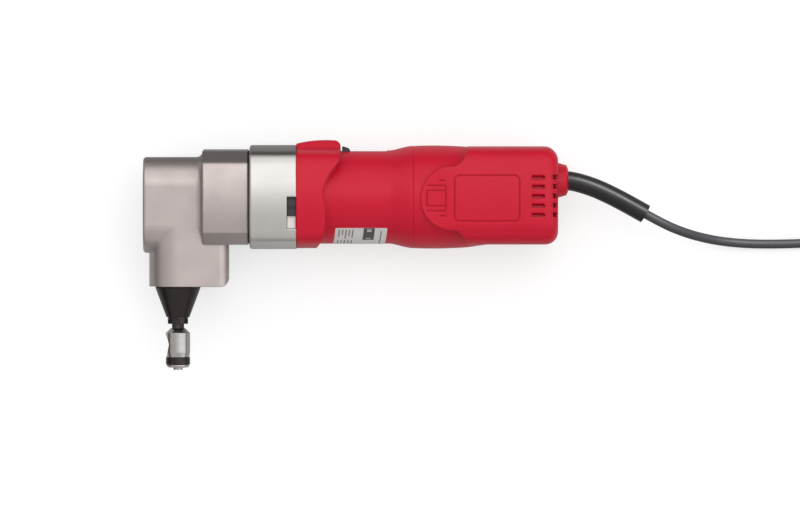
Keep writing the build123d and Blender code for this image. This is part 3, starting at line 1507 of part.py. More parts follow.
def plug_plane(y):
    """Plane square to the plug, facing +Y."""
    return Plane(origin=(plug_x, y, plug_z), x_dir=(1, 0, 0), z_dir=(0, 1, 0))


with BuildPart() as plug_body:
    with BuildSketch(plug_plane(plug_start)):
        Circle(4.2)
    with BuildSketch(plug_plane(plug_start + plug_neck)):
        Circle(5.6)
    loft()
    with BuildSketch(plug_plane(plug_start + plug_neck)):
        RectangleRounded(26.0, 2 * plug_z, 6.0)
    extrude(amount=plug_length - plug_neck)
save(plug_body.part, "plug_body")

with BuildPart() as plug_blades:
    with BuildSketch(plug_plane(plug_start + plug_length)):
        with Locations((-6.35, 0), (6.35, 0)):
            Rectangle(1.5, 6.4)
    extrude(amount=16.5)
save(plug_blades.part, "plug_blades")
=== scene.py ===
import math

import bmesh
import bpy
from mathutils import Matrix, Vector


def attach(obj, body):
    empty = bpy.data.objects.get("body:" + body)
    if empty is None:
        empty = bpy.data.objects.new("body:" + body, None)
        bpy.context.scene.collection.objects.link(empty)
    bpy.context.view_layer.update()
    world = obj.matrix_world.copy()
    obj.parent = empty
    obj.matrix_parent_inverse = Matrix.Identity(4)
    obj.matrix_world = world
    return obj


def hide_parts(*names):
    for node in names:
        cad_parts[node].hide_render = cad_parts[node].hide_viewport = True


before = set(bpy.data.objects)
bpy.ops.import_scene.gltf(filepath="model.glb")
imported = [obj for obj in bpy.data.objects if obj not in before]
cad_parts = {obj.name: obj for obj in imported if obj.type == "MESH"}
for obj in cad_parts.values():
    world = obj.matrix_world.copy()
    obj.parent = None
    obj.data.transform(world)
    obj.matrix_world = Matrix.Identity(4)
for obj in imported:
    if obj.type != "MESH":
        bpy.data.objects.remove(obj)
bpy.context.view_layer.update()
MM = 0.001

# Camera
# The tool lies on its side and is seen from above, as in a catalogue picture, from a little
# towards its back. A long lens keeps it free of perspective. A pixel of the picture is 0.65 mm.
picture_width = 800
picture_height = 509
pixel = 0.65 * MM
origin_pixel = (309.0, 197.0)
axis_height = 34.0 * MM
camera_distance = 6.0
camera_lean = math.radians(1.75)


def at_pixel(column, row):
    """Place in the frame, at the height of the motor axis, of a pixel of the picture."""
    x = (column - origin_pixel[0]) * pixel
    y = (origin_pixel[1] - row) * pixel
    return Vector((x, y, axis_height))


camera_data = bpy.data.cameras.new("camera")
camera_data.sensor_width = 36.0
camera_data.lens = camera_data.sensor_width * camera_distance / (picture_width * pixel)
camera = bpy.data.objects.new("camera", camera_data)
camera.rotation_euler = (-camera_lean, 0, 0)
camera_way = Vector((0, math.sin(camera_lean), math.cos(camera_lean)))
camera.location = at_pixel(picture_width / 2, picture_height / 2) + camera_way * camera_distance
bpy.context.scene.collection.objects.link(camera)
bpy.context.scene.camera = camera

# Studio
# Table of white paper that ends just beyond the picture's left and back edges. Round it stands a
# bright tent, dimmer before the tool and along the horizon, with a soft box above.
table_colour = "#B4B4B4"
table_lift = 0.58
table_gleam = 0.15
table_left = -0.23
table_right = 1.6
table_front = -1.6
table_back = 0.155
table_drop = 0.2 * MM
tent_axis = (0.45, 0.89, 0.0)
tent_blend = 0.3
tent_near = 0.75
tent_far = 1.5
horizon_dark = 0.1
horizon_height = 0.4
lamp_target = Vector((0.03, 0.0, 0.0))
box_place = Vector((0.2, 0.35, 1.3))
box_size = (1.2, 0.5)
box_power = 1.5


def linear(code):
    """Linear colour from an sRGB hex code."""
    levels = [int(code[i : i + 2], 16) / 255 for i in (1, 3, 5)]
    return [v / 12.92 if v < 0.04045 else ((v + 0.055) / 1.055) ** 2.4 for v in levels] + [1.0]


def add_node(tree, kind, inputs, **settings):
    """Adds a node with its settings; an input is a value or the output to link it to."""
    node = tree.nodes.new(kind)
    for name, value in settings.items():
        setattr(node, name, value)
    for name, value in inputs.items():
        if isinstance(value, bpy.types.NodeSocket):
            tree.links.new(value, node.inputs[name])
        else:
            node.inputs[name].default_value = value
    return node


def area_lamp(name, place, size, power):
    """Rectangular lamp that points at the tool's middle."""
    data = bpy.data.lights.new(name, "AREA")
    data.shape = "RECTANGLE"
    data.size, data.size_y = size
    data.energy = power
    lamp = bpy.data.objects.new(name, data)
    lamp.location = place
    lamp.rotation_euler = (lamp_target - place).to_track_quat("-Z", "Y").to_euler()
    bpy.context.scene.collection.objects.link(lamp)
    return lamp


table_size = (table_right - table_left, table_back - table_front, 1)
table_middle = ((table_left + table_right) / 2, (table_front + table_back) / 2, -table_drop)
floor_mesh = bmesh.new()
bmesh.ops.create_grid(floor_mesh, x_segments=1, y_segments=1, size=0.5)
bmesh.ops.scale(floor_mesh, vec=table_size, verts=floor_mesh.verts)
bmesh.ops.translate(floor_mesh, vec=table_middle, verts=floor_mesh.verts)
floor_data = bpy.data.meshes.new("floor")
floor_mesh.to_mesh(floor_data)
floor_mesh.free()
floor = bpy.data.objects.new("floor", floor_data)
bpy.context.scene.collection.objects.link(floor)

# Matt backdrop paper: no gloss, only the soft edge of the shadow. It glows a little for the camera,
# which then sees it as white.
floor_paint = bpy.data.materials.new("white_backdrop_paper")
floor_paint.use_nodes = True
tree = floor_paint.node_tree
tree.nodes.clear()
rays = add_node(tree, "ShaderNodeLightPath", {})
seen = add_node(
    tree, "ShaderNodeMath", {0: rays.outputs["Is Camera Ray"], 1: table_lift}, operation="MULTIPLY"
)
lift = add_node(
    tree,
    "ShaderNodeMath",
    {0: rays.outputs["Is Glossy Ray"], 1: table_gleam, 2: seen.outputs[0]},
    operation="MULTIPLY_ADD",
)
paper = add_node(tree, "ShaderNodeBsdfDiffuse", {"Color": linear(table_colour)})
glow = add_node(tree, "ShaderNodeEmission", {"Strength": lift.outputs[0]})
both = add_node(tree, "ShaderNodeAddShader", {0: paper.outputs[0], 1: glow.outputs[0]})
add_node(tree, "ShaderNodeOutputMaterial", {"Surface": both.outputs[0]})
floor_data.materials.append(floor_paint)

world = bpy.data.worlds.new("studio")
world.use_nodes = True
bpy.context.scene.world = world
tree = world.node_tree
tree.nodes.clear()
way = add_node(tree, "ShaderNodeTexCoord", {})
share = add_node(
    tree,
    "ShaderNodeVectorMath",
    {0: way.outputs["Generated"], 1: tent_axis},
    operation="DOT_PRODUCT",
)
tent = add_node(
    tree,
    "ShaderNodeMapRange",
    {
        "Value": share.outputs["Value"],
        "From Min": -tent_blend,
        "From Max": tent_blend,
        "To Min": tent_near,
        "To Max": tent_far,
    },
    interpolation_type="SMOOTHSTEP",
)
height = add_node(tree, "ShaderNodeSeparateXYZ", {0: way.outputs["Generated"]})
rim = add_node(
    tree,
    "ShaderNodeMapRange",
    {"Value": height.outputs[2], "From Max": horizon_height, "To Min": horizon_dark},
    interpolation_type="SMOOTHSTEP",
)
dimmed = add_node(
    tree, "ShaderNodeMath", {0: tent.outputs[0], 1: rim.outputs[0]}, operation="MULTIPLY"
)
rays = add_node(tree, "ShaderNodeLightPath", {})
level = add_node(
    tree,
    "ShaderNodeMath",
    {0: rays.outputs["Is Camera Ray"], 1: dimmed.outputs[0]},
    operation="MAXIMUM",
)
sky = add_node(tree, "ShaderNodeBackground", {"Color": (1, 1, 1, 1), "Strength": level.outputs[0]})
add_node(tree, "ShaderNodeOutputWorld", {"Surface": sky.outputs[0]})
area_lamp("soft_box", box_place, box_size, box_power)

# Head casting
# Angle head of cast aluminium, shot-blasted and lacquered warm grey. Its block, collar and plunger
# case are one piece; four long screws pull it against the gear flange.
collar_start = -69.1 * MM
collar_height = 25.0 * MM
collar_half = 22.5 * MM
collar_crown = 2.0 * MM
collar_end = collar_start + 0.2 * MM
# Painted shade: a darker colour mixed in towards the tool's back, in place of the dark reflection
# there.
casting_back = ("#77706E", 20.5 * MM, 24.5 * MM)
gloss_drift = 0.05


def surface(
    name,
    colours,
    patch,
    grain,
    depth,
    roughness,
    metallic=0.0,
    stretch=(1, 1, 1),
    rounding=0.0,
    specular=0.5,
    crown=None,
    back=None,
):
    """Material whose colour and gloss drift over patches, with a fine grain of a given depth.

    stretch draws the grain out along an axis. rounding is the radius that the edges seem to have.
    crown makes the broad faces look bowed: half their width, the drop there, their least distance
    from the axis, and the two places along the axis between which the bow sets in. The last
    argument
    gives painted shade: a darker colour mixed in towards the tool's back in place of the dark
    reflection there, and the two places across the tool between which it sets in.
    """
    material = bpy.data.materials.new(name)
    material.use_nodes = True
    tree = material.node_tree
    tree.nodes.clear()
    place = add_node(tree, "ShaderNodeTexCoord", {})
    clouds = add_node(
        tree,
        "ShaderNodeTexNoise",
        {"Vector": place.outputs["Object"], "Scale": 1 / patch, "Detail": 2.0},
    )
    tint = add_node(
        tree,
        "ShaderNodeMix",
        {0: clouds.outputs["Fac"], 6: linear(colours[0]), 7: linear(colours[1])},
        data_type="RGBA",
    )
    gloss = add_node(
        tree,
        "ShaderNodeMapRange",
        {
            "Value": clouds.outputs["Fac"],
            "To Min": roughness - gloss_drift,
            "To Max": roughness + gloss_drift,
        },
    )
    laid = add_node(
        tree, "ShaderNodeMapping", {"Vector": place.outputs["Object"], "Scale": stretch}
    )
    skin = add_node(
        tree, "ShaderNodeTexNoise", {"Vector": laid.outputs[0], "Scale": 1 / grain, "Detail": 2.0}
    )
    relief = add_node(
        tree, "ShaderNodeBump", {"Height": skin.outputs["Fac"], "Strength": 1.0, "Distance": depth}
    )
    lowest = relief
    where = add_node(tree, "ShaderNodeSeparateXYZ", {0: place.outputs["Object"]})
    if crown:
        half_width, drop, crown_height, crown_start, crown_end = crown
        rise_share = drop / half_width**2
        across = add_node(
            tree,
            "ShaderNodeClamp",
            {"Value": where.outputs[1], "Min": -half_width, "Max": half_width},
        )
        square = add_node(
            tree,
            "ShaderNodeMath",
            {0: across.outputs[0], 1: across.outputs[0]},
            operation="MULTIPLY",
        )
        bow = add_node(
            tree, "ShaderNodeMath", {0: half_width**2, 1: square.outputs[0]}, operation="SUBTRACT"
        )
        along = add_node(
            tree,
            "ShaderNodeMapRange",
            {"Value": where.outputs[0], "From Min": crown_start, "From Max": crown_end},
            interpolation_type="SMOOTHSTEP",
        )
        beside = add_node(
            tree,
            "ShaderNodeMath",
            {0: where.outputs[2], 1: axis_height, 2: crown_height},
            operation="COMPARE",
        )
        here = add_node(
            tree,
            "ShaderNodeMath",
            {0: along.outputs[0], 1: beside.outputs[0]},
            operation="SUBTRACT",
            use_clamp=True,
        )
        rise = add_node(
            tree, "ShaderNodeMath", {0: bow.outputs[0], 1: here.outputs[0]}, operation="MULTIPLY"
        )
        lowest = add_node(
            tree,
            "ShaderNodeBump",
            {"Height": rise.outputs[0], "Strength": 1.0, "Distance": rise_share},
        )
        tree.links.new(lowest.outputs[0], relief.inputs["Normal"])
    if rounding:
        edge = add_node(tree, "ShaderNodeBevel", {"Radius": rounding}, samples=6)
        tree.links.new(edge.outputs[0], lowest.inputs["Normal"])
    colour = tint.outputs[2]
    # Painted shade: towards the tool's back the colour is mixed to a darker one, in place of the
    # dark reflection there.
    if back:
        back_colour, back_start, back_end = back
        share = add_node(
            tree,
            "ShaderNodeMapRange",
            {"Value": where.outputs[1], "From Min": back_start, "From Max": back_end},
            interpolation_type="SMOOTHSTEP",
        )
        shaded = add_node(
            tree,
            "ShaderNodeMix",
            {0: share.outputs[0], 6: colour, 7: linear(back_colour)},
            data_type="RGBA",
        )
        colour = shaded.outputs[2]
    shader = add_node(
        tree,
        "ShaderNodeBsdfPrincipled",
        {
            "Base Color": colour,
            "Metallic": metallic,
            "Roughness": gloss.outputs[0],
            "Specular IOR Level": specular,
            "Normal": relief.outputs[0],
        },
    )
    add_node(tree, "ShaderNodeOutputMaterial", {"Surface": shader.outputs[0]})
    return material


def dress(material, *names):
    """Gives the material to every slot of the solids with those names."""
    for name in names:
        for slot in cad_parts[name].material_slots:
            slot.material = material


# Shot-blasted cast aluminium under thin grey lacquer: soft sheen, fine even grit, cloudy tone, and
# painted shade that darkens it towards the tool's back. The collar's broad faces are bowed.
casting = surface(
    "lacquered_cast_aluminium",
    ("#BAB0AD", "#A89E9B"),
    patch=14.0 * MM,
    grain=0.9 * MM,
    depth=0.03 * MM,
    roughness=0.4,
    metallic=0.85,
    rounding=0.9 * MM,
    crown=(collar_half, collar_crown, collar_height, collar_start, collar_end),
    back=casting_back,
)
dress(casting, "head_housing")

# Gasket
# Sheet of gasket paper, 0.6 mm thick, punched out with its screw holes and squeezed between the
# head and the gear flange.

# Pressed fibre: dull and almost black, without any sheen.
gasket_paper = surface(
    "black_gasket_paper",
    ("#1F1C1C", "#2A2625"),
    patch=5.0 * MM,
    grain=0.4 * MM,
    depth=0.03 * MM,
    roughness=0.75,
)
dress(gasket_paper, "head_gasket")

# Gear flange
# Ring of die-cast aluminium with its outside milled and left bright. It carries the bearings
# behind the head and has an air notch in each side.
flange_start = -41.0 * MM
flat_half = 14.27 * MM
flat_drop = 1.21 * MM
flange_blend = 1.0 * MM
# Painted shade: a darker colour mixed in along the tool's back, in place of the dark reflection
# there.
flange_back = ("#6C6765", 26.8 * MM, 29.0 * MM)
# Milled and satin-finished aluminium: bright, with faint lines round the motor axis, and painted
# shade that darkens it along the tool's back, in place of the dark reflection there.
milled_aluminium = surface(
    "milled_satin_aluminium",
    ("#C6C3BF", "#B9B6B2"),
    patch=22.0 * MM,
    grain=0.5 * MM,
    depth=0.01 * MM,
    roughness=0.34,
    metallic=0.85,
    stretch=(1.0, 0.04, 0.04),
    rounding=1.2 * MM,
    crown=(flat_half, flat_drop, 0.0, flange_start - flange_blend, flange_start),
    back=flange_back,
)
dress(milled_aluminium, "gear_flange", "bearing_plate")

# Fan shroud and air guide
# Ring of black nylon with louvre blades in the air notches, and a cream guide piece below them.
# Both are injection moulded and held between the flange and the motor housing.

# Moulded nylon: even colour with a satin gloss. The small inner pieces are of the same kind.
black_nylon = surface(
    "moulded_black_nylon",
    ("#1F1C1C", "#272423"),
    patch=9.0 * MM,
    grain=0.5 * MM,
    depth=0.02 * MM,
    roughness=0.32,
)
dress(black_nylon, "fan_shroud", "switch_block", "cable_clamp", "brush_holders", "switch_link")
# The same nylon in its natural cream, duller.
cream_nylon = surface(
    "moulded_cream_nylon",
    ("#EFECE6", "#E4E0D8"),
    patch=7.0 * MM,
    grain=0.5 * MM,
    depth=0.02 * MM,
    roughness=0.5,
)
dress(cream_nylon, "air_guide")

# Motor housing and rear cover
# Two shells of glass-filled nylon, moulded in red. The rear cover slides over the motor housing's
# spigot and is held by two screws from behind.
red_shades = ("#C60E2E", "#BA0B28")
red_patch = 30.0 * MM
red_grain = 0.45 * MM
shoulder_half = 15.15 * MM
shoulder_drop = 1.6 * MM
shoulder_height = 31.5 * MM
shoulder_end = 30.0 * MM
shoulder_blend = 4.0 * MM
cover_half = 22.0 * MM
cover_drop = 1.7 * MM
cover_crown_start = 76.0 * MM
cover_crown_end = 100.0 * MM
# Spark-eroded moulding skin: fine even grain, satin gloss, colour that drifts a little. The
# shoulder's broad faces are bowed.
housing_nylon = surface(
    "spark_eroded_red_nylon_housing",
    red_shades,
    patch=red_patch,
    grain=red_grain,
    depth=0.025 * MM,
    roughness=0.4,
    rounding=2.2 * MM,
    specular=0.24,
    crown=(
        shoulder_half,
        shoulder_drop,
        shoulder_height,
        shoulder_end + shoulder_blend,
        shoulder_end,
    ),
)
dress(housing_nylon, "motor_housing")
# The same skin on the cover, whose side pads are bowed from edge to edge.
cover_nylon = surface(
    "spark_eroded_red_nylon_cover",
    red_shades,
    patch=red_patch,
    grain=red_grain,
    depth=0.025 * MM,
    roughness=0.4,
    rounding=1.3 * MM,
    specular=0.24,
    crown=(cover_half, cover_drop, 0.0, cover_crown_start, cover_crown_end),
)
dress(cover_nylon, "rear_cover")

# Vent baffles
# Two thin plates of red nylon laid against the cover's inside, one behind each side's vents. Four
# ribs under each one stiffen it.
baffle_front = 143.0 * MM
baffle_back = 158.2 * MM
baffle_half = 17.0 * MM
baffle_plate = 0.8 * MM
baffle_outside = 31.3 * MM
baffle_rib_height = 1.0 * MM
baffle_rib_width = 1.8 * MM
vent_middle = 1.5 * MM
vent_pitch = 6.1 * MM
baffle_length = baffle_back - baffle_front
baffle_rib = (baffle_length, baffle_rib_width, baffle_rib_height + baffle_plate / 2)
baffle = bmesh.new()
bmesh.ops.create_grid(baffle, x_segments=2, y_segments=6, size=0.5)
bmesh.ops.scale(baffle, vec=(baffle_length, 2 * baffle_half, 1), verts=baffle.verts)
upper = bmesh.ops.extrude_face_region(baffle, geom=baffle.faces[:])["geom"]
upper_points = [part for part in upper if isinstance(part, bmesh.types.BMVert)]
bmesh.ops.translate(baffle, verts=upper_points, vec=(0, 0, baffle_plate))
for row in (-1.5, -0.5, 0.5, 1.5):
    rib = bmesh.ops.create_cube(baffle, size=1.0)["verts"]
    rib_place = (0, vent_middle + row * vent_pitch, -baffle_rib_height / 4)
    bmesh.ops.scale(baffle, vec=baffle_rib, verts=rib)
    bmesh.ops.translate(baffle, vec=rib_place, verts=rib)
baffle_place = ((baffle_front + baffle_back) / 2, 0, baffle_outside - baffle_plate)
bmesh.ops.translate(baffle, verts=baffle.verts, vec=baffle_place)
near_side = baffle.verts[:] + baffle.edges[:] + baffle.faces[:]
far_side = bmesh.ops.duplicate(baffle, geom=near_side)["geom"]
far_points = [part for part in far_side if isinstance(part, bmesh.types.BMVert)]
bmesh.ops.scale(baffle, vec=(1, 1, -1), verts=far_points)
bmesh.ops.translate(baffle, verts=baffle.verts, vec=(0, 0, axis_height))
bmesh.ops.recalc_face_normals(baffle, faces=baffle.faces)
baffle_mesh = bpy.data.meshes.new("vent_baffles")
baffle.to_mesh(baffle_mesh)
baffle.free()
baffles = bpy.data.objects.new("vent_baffles", baffle_mesh)
bpy.context.scene.collection.objects.link(baffles)
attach(baffles, "tool")
# Plain red nylon sheet, cut and not moulded, a little duller than the shells.
baffle_nylon = surface(
    "cut_red_nylon_sheet",
    ("#C2142C", "#B61027"),
    patch=12.0 * MM,
    grain=0.4 * MM,
    depth=0.02 * MM,
    roughness=0.5,
)
baffle_mesh.materials.append(baffle_nylon)

# Rating label
# Label of silver polyester film, punched with round corners, screen printed with a dark block and
# plain bars, and stuck round the lower side of the grip.
grip_radius = 30.3 * MM
label_radius = grip_radius + 0.02 * MM
label_film = 0.1 * MM
label_ink = 0.03 * MM
label_front = 17.4 * MM
label_length = 33.6 * MM
label_top_angle = math.radians(40.0)
label_width = 26.0 * MM
label_lean = 0.085
label_strip = 1.0 * MM
label_corner = 1.0 * MM


def label_piece(name, start, top, length, width, thickness, corner=0.0, lift=0.0):
    """Plate bent round the grip. Its start and top are measured from the label's own corner."""
    plate = bmesh.new()
    bmesh.ops.create_grid(plate, x_segments=1, y_segments=1, size=0.5)
    bmesh.ops.scale(plate, vec=(length, width, 1), verts=plate.verts)
    if corner:
        bmesh.ops.bevel(
            plate,
            geom=plate.verts[:],
            offset=corner,
            affect="VERTICES",
            segments=5,
            profile=0.5,
            material=-1,
        )
    bmesh.ops.translate(plate, verts=plate.verts, vec=(start + length / 2, -top - width / 2, 0))
    for row in range(1, math.ceil(label_width / label_strip)):
        bmesh.ops.bisect_plane(
            plate,
            geom=plate.verts[:] + plate.edges[:] + plate.faces[:],
            plane_co=(0, -row * label_strip, 0),
            plane_no=(0, 1, 0),
        )
    upper = bmesh.ops.extrude_face_region(plate, geom=plate.faces[:])["geom"]
    upper_points = [part for part in upper if isinstance(part, bmesh.types.BMVert)]
    bmesh.ops.translate(plate, verts=upper_points, vec=(0, 0, thickness))
    for vert in plate.verts:
        angle = label_top_angle - vert.co.y / label_radius
        radius = label_radius + lift + vert.co.z
        vert.co = (
            label_front + vert.co.x + label_lean * vert.co.y,
            -radius * math.sin(angle),
            axis_height + radius * math.cos(angle),
        )
    bmesh.ops.recalc_face_normals(plate, faces=plate.faces)
    data = bpy.data.meshes.new(name)
    plate.to_mesh(data)
    plate.free()
    piece = bpy.data.objects.new(name, data)
    bpy.context.scene.collection.objects.link(piece)
    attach(piece, "tool")
    return piece


# Polyester film with a silver back: pale grey, smooth and half glossy.
silver_film = surface(
    "silver_polyester_film",
    ("#DAD6D4", "#D0CCCA"),
    patch=6.0 * MM,
    grain=0.6 * MM,
    depth=0.004 * MM,
    roughness=0.35,
    metallic=0.2,
)
# Screen-printed inks: flat and dry, grey for the thin bars and darker for the block.
grey_ink = surface(
    "grey_printing_ink",
    ("#7D7876", "#8C8785"),
    patch=2.0 * MM,
    grain=0.3 * MM,
    depth=0.004 * MM,
    roughness=0.5,
)
dark_ink = surface(
    "dark_printing_ink",
    ("#453F42", "#4F494B"),
    patch=4.0 * MM,
    grain=0.4 * MM,
    depth=0.004 * MM,
    roughness=0.45,
)
label = label_piece(
    "rating_label",
    start=0.0,
    top=0.0,
    length=label_length,
    width=label_width,
    thickness=label_film,
    corner=label_corner,
)
label.data.materials.append(silver_film)
block_start = 18.4 * MM
block_top = 0.1 * MM
block_length = 7.2 * MM
block_width = 13.0 * MM
block = label_piece(
    "label_block",
    start=block_start,
    top=block_top,
    length=block_length,
    width=block_width,
    thickness=label_ink,
    lift=label_film,
)
block.data.materials.append(dark_ink)
line_pitch = 2.2 * MM
line_width = 0.9 * MM
line_margin = 2.2 * MM
line_tops = (1.4 * MM, 13.4 * MM)
line_lengths = (7.0 * MM, 5.2 * MM, 9.6 * MM, 6.6 * MM, 8.4 * MM)
for number, line_length in enumerate(line_lengths):
    for row, line_top in enumerate(line_tops):
        line = label_piece(
            f"label_line_{number}_{row}",
            start=line_margin + number * line_pitch,
            top=line_top,
            length=line_width,
            width=line_length,
            thickness=label_ink,
            lift=label_film,
        )
        line.data.materials.append(grey_ink)
side_start = 29.4 * MM
side_top = 2.4 * MM
side_length = 19.0 * MM
side_line = label_piece(
    "label_side_line",
    start=side_start,
    top=side_top,
    length=line_width,
    width=side_length,
    thickness=label_ink,
    lift=label_film,
)
side_line.data.materials.append(grey_ink)
gap_start = 20.6 * MM
gap_tops = (1.2 * MM, 2.6 * MM, 10.6 * MM)
gap_length = 3.0 * MM
gap_width = 0.8 * MM
for number, gap_top in enumerate(gap_tops):
    gap_line = label_piece(
        f"label_gap_line_{number}",
        start=gap_start,
        top=gap_top,
        length=gap_length,
        width=gap_width,
        thickness=label_ink,
        lift=label_film + label_ink,
    )
    gap_line.data.materials.append(silver_film)

# Slide switch
# Thumb slide moulded of black ABS, with grip ribs, in the slot behind the hump. A link under it
# pulls the switch in the rear cover.

# ABS from a polished mould: deep black with a clear gloss.
glossy_abs = surface(
    "glossy_black_abs",
    ("#1C1A1A", "#242121"),
    patch=8.0 * MM,
    grain=0.5 * MM,
    depth=0.01 * MM,
    roughness=0.28,
)
dress(glossy_abs, "slide_button")

# Cone nut, die holder and lock ring
# Turned from alloy steel and blackened in hot oxide. The cone nut clamps the holder in the head,
# and the ring locks the die on the holder's tail.

# Black oxide on turned steel: nearly black with a grey sheen, faint lines round the die axis.
oxide_steel = surface(
    "black_oxide_turned_steel",
    ("#352F2F", "#3E3837"),
    patch=6.0 * MM,
    grain=0.4 * MM,
    depth=0.01 * MM,
    roughness=0.32,
    metallic=0.9,
    stretch=(0.05, 1.0, 0.05),
    rounding=0.4 * MM,
)
dress(oxide_steel, "die_nut", "die_holder", "die_lock_ring")

# Die, end screw and punch
# The round die and its screw are of hardened tool steel, ground bright. The punch is of the same
# steel, left darker from hardening and worn by the sheet.

# Ground tool steel: bright mirror-like rings with fine scratches round the axis.
ground_steel = surface(
    "ground_tool_steel",
    ("#B9B5B2", "#A5A19E"),
    patch=5.0 * MM,
    grain=0.3 * MM,
    depth=0.008 * MM,
    roughness=0.22,
    metallic=1.0,
    stretch=(0.04, 1.0, 0.04),
    rounding=0.3 * MM,
)
dress(ground_steel, "die", "die_screw")
# Hardened steel left as it is: dark grey, half dull, with scratches across the blade.
tempered_steel = surface(
    "tempered_punch_steel",
    ("#3E3C3D", "#4A4848"),
    patch=3.0 * MM,
    grain=0.3 * MM,
    depth=0.01 * MM,
    roughness=0.35,
    metallic=0.9,
    stretch=(1.0, 0.1, 1.0),
)
dress(tempered_steel, "punch")

# Drive train
# Shafts, gears, rod, wrist pin and ram, cut from alloy steel, hardened and ground. They turn in
# ball bearings inside the castings and bring the motor's turning to the punch.

# Ground steel with a film of grease: mid grey and shiny, faint lines round the shafts.
hardened_steel = surface(
    "hardened_ground_steel",
    ("#A09D9A", "#8B8885"),
    patch=6.0 * MM,
    grain=0.3 * MM,
    depth=0.01 * MM,
    roughness=0.3,
    metallic=1.0,
    stretch=(1.0, 0.05, 0.05),
)
dress(
    hardened_steel,
    "armature_shaft",
    "layshaft",
    "layshaft_gear",
    "crankshaft",
    "crank_gear",
    "connecting_rod",
    "wrist_pin",
    "ram",
    "punch_retainer",
)

# Ball bearings
# Ball bearings of chrome steel with pressed steel shields, bought ready made and pressed into
# their seats in the castings and mouldings.

# Polished bearing steel: bright, almost a mirror.
bearing_steel = surface(
    "polished_bearing_steel",
    ("#B9B7B5", "#ABA9A7"),
    patch=8.0 * MM,
    grain=0.3 * MM,
    depth=0.004 * MM,
    roughness=0.18,
    metallic=1.0,
)
dress(
    bearing_steel,
    "armature_front_bearing",
    "armature_rear_bearing",
    "layshaft_front_bearing",
    "layshaft_rear_bearing",
    "crank_front_bearing",
    "crank_rear_bearing",
)

# Screws and springs
# Socket and cross-slot screws with rolled threads, which hold the head, the bearing plate, the rear
# cover and the cord clamp, and the springs that press the carbon brushes.

# Zinc-plated steel: grey with a soft shine.
plated_steel = surface(
    "zinc_plated_steel",
    ("#6B6867", "#7C7977"),
    patch=3.0 * MM,
    grain=0.3 * MM,
    depth=0.01 * MM,
    roughness=0.35,
    metallic=0.9,
)
dress(
    plated_steel,
    "head_screws",
    "bearing_plate_screws",
    "rear_cover_screws",
    "clamp_screws",
    "brush_springs",
)

# Motor
# Stacks of punched sheet steel, windings of enamelled copper wire, carbon brushes and the fan. The
# armature is pressed on its shaft, the stator into the motor housing.

# Punched sheets: dark grey edges 0.5 mm apart, drawn 1 mm apart so that they can be seen.
sheet_pitch = 1.0 * MM
sheet_steel = surface(
    "punched_sheet_steel",
    ("#5F5B59", "#4C4947"),
    patch=6.0 * MM,
    grain=sheet_pitch,
    depth=0.04 * MM,
    roughness=0.5,
    metallic=0.8,
    stretch=(1.0, 0.02, 0.02),
)
dress(sheet_steel, "stator_core", "armature_core")
# Enamelled wire 0.4 mm thick, drawn 0.8 mm thick: reddish brown with a hard gloss.
copper_wire = surface(
    "enamelled_copper_wire",
    ("#A4552C", "#8C4422"),
    patch=3.0 * MM,
    grain=0.8 * MM,
    depth=0.06 * MM,
    roughness=0.32,
    metallic=0.7,
    stretch=(0.1, 1.0, 1.0),
)
dress(copper_wire, "armature_winding", "field_coils", "commutator")
# Carbon pressed with graphite: dark grey and dull.
pressed_carbon = surface(
    "pressed_carbon",
    ("#2A2A2B", "#353536"),
    patch=2.0 * MM,
    grain=0.3 * MM,
    depth=0.02 * MM,
    roughness=0.6,
)
dress(pressed_carbon, "carbon_brushes")
# Moulded polyamide with glass fibre: dark grey, satin.
grey_polyamide = surface(
    "moulded_grey_polyamide",
    ("#4A4A4C", "#565658"),
    patch=8.0 * MM,
    grain=0.4 * MM,
    depth=0.02 * MM,
    roughness=0.45,
)
dress(grey_polyamide, "cooling_fan")

# Strain relief
# Soft black rubber sleeve moulded round the cord, gripped by the boss of the rear cover. A strip
# light from behind, which only the sleeve and the cord take, draws the gloss line along them.
strip_place = Vector((0.72, 0.88, 1.05))
strip_size = (0.8, 0.3)
strip_power = 24.0
strip_light = area_lamp("strip_light", strip_place, strip_size, strip_power)
strip_lit = bpy.data.collections.new("lit_by_strip")
strip_light.light_linking.receiver_collection = strip_lit
strip_lit.objects.link(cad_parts["cord_sleeve"])
# Moulded rubber: black with a slightly rough skin, on which a lamp makes a soft line.
sleeve_rubber = surface(
    "moulded_black_rubber",
    ("#100F10", "#171516"),
    patch=8.0 * MM,
    grain=0.7 * MM,
    depth=0.03 * MM,
    roughness=0.36,
    specular=0.35,
)
dress(sleeve_rubber, "cord_sleeve", "supply_lead")

# Cord
# Rubber-sheathed mains lead, 6 mm thick and 2.5 m long, ending in a moulded plug. It leaves the
# sleeve, drops to the ground and is wound up just beyond the picture's edge.
cord_diameter = 6.0 * MM
cord_route = [
    (218.6, -11.0, 31.5),
    (230.9, -17.85, 30.24),
    (243.6, -23.2, 23.6),
    (256.0, -27.0, 14.2),
    (269.6, -29.8, 6.8),
    (286.0, -31.4, 3.2),
    (307.0, -31.6, 3.0),
    (333.0, -30.6, 3.0),
]
tail_route = [
    (427.0, 29.5, 20.6),
    (427.4, 43.0, 19.2),
    (427.9, 57.0, 14.6),
    (428.0, 71.0, 11.0),
    (428.0, 85.0, 11.0),
]
coil_centre = Vector((385.0, 12.0, 0.0))
coil_start = -90.0
coil_turns = 10
turn_points = 15
step_points = 4
columns = (42.2, 36.0, 29.8)
rows = (3.0, 9.1, 15.2, 21.3)
last_turn = ((-90.0, 39.0), (-65.0, 40.5), (-40.0, 42.0), (-15.0, 43.0))
turns = []
for row_number, row_height in enumerate(rows):
    order = columns if row_number % 2 == 0 else columns[::-1]
    for column_radius in order:
        turns.append((column_radius, row_height))
turns = turns[:coil_turns] + [(last_turn[0][1], rows[-1])]


def coil_point(angle, radius, height):
    """Point of the coil, in millimetres, at an angle in degrees round its middle."""
    turned = math.radians(angle)
    return coil_centre + Vector((radius * math.cos(turned), radius * math.sin(turned), height))


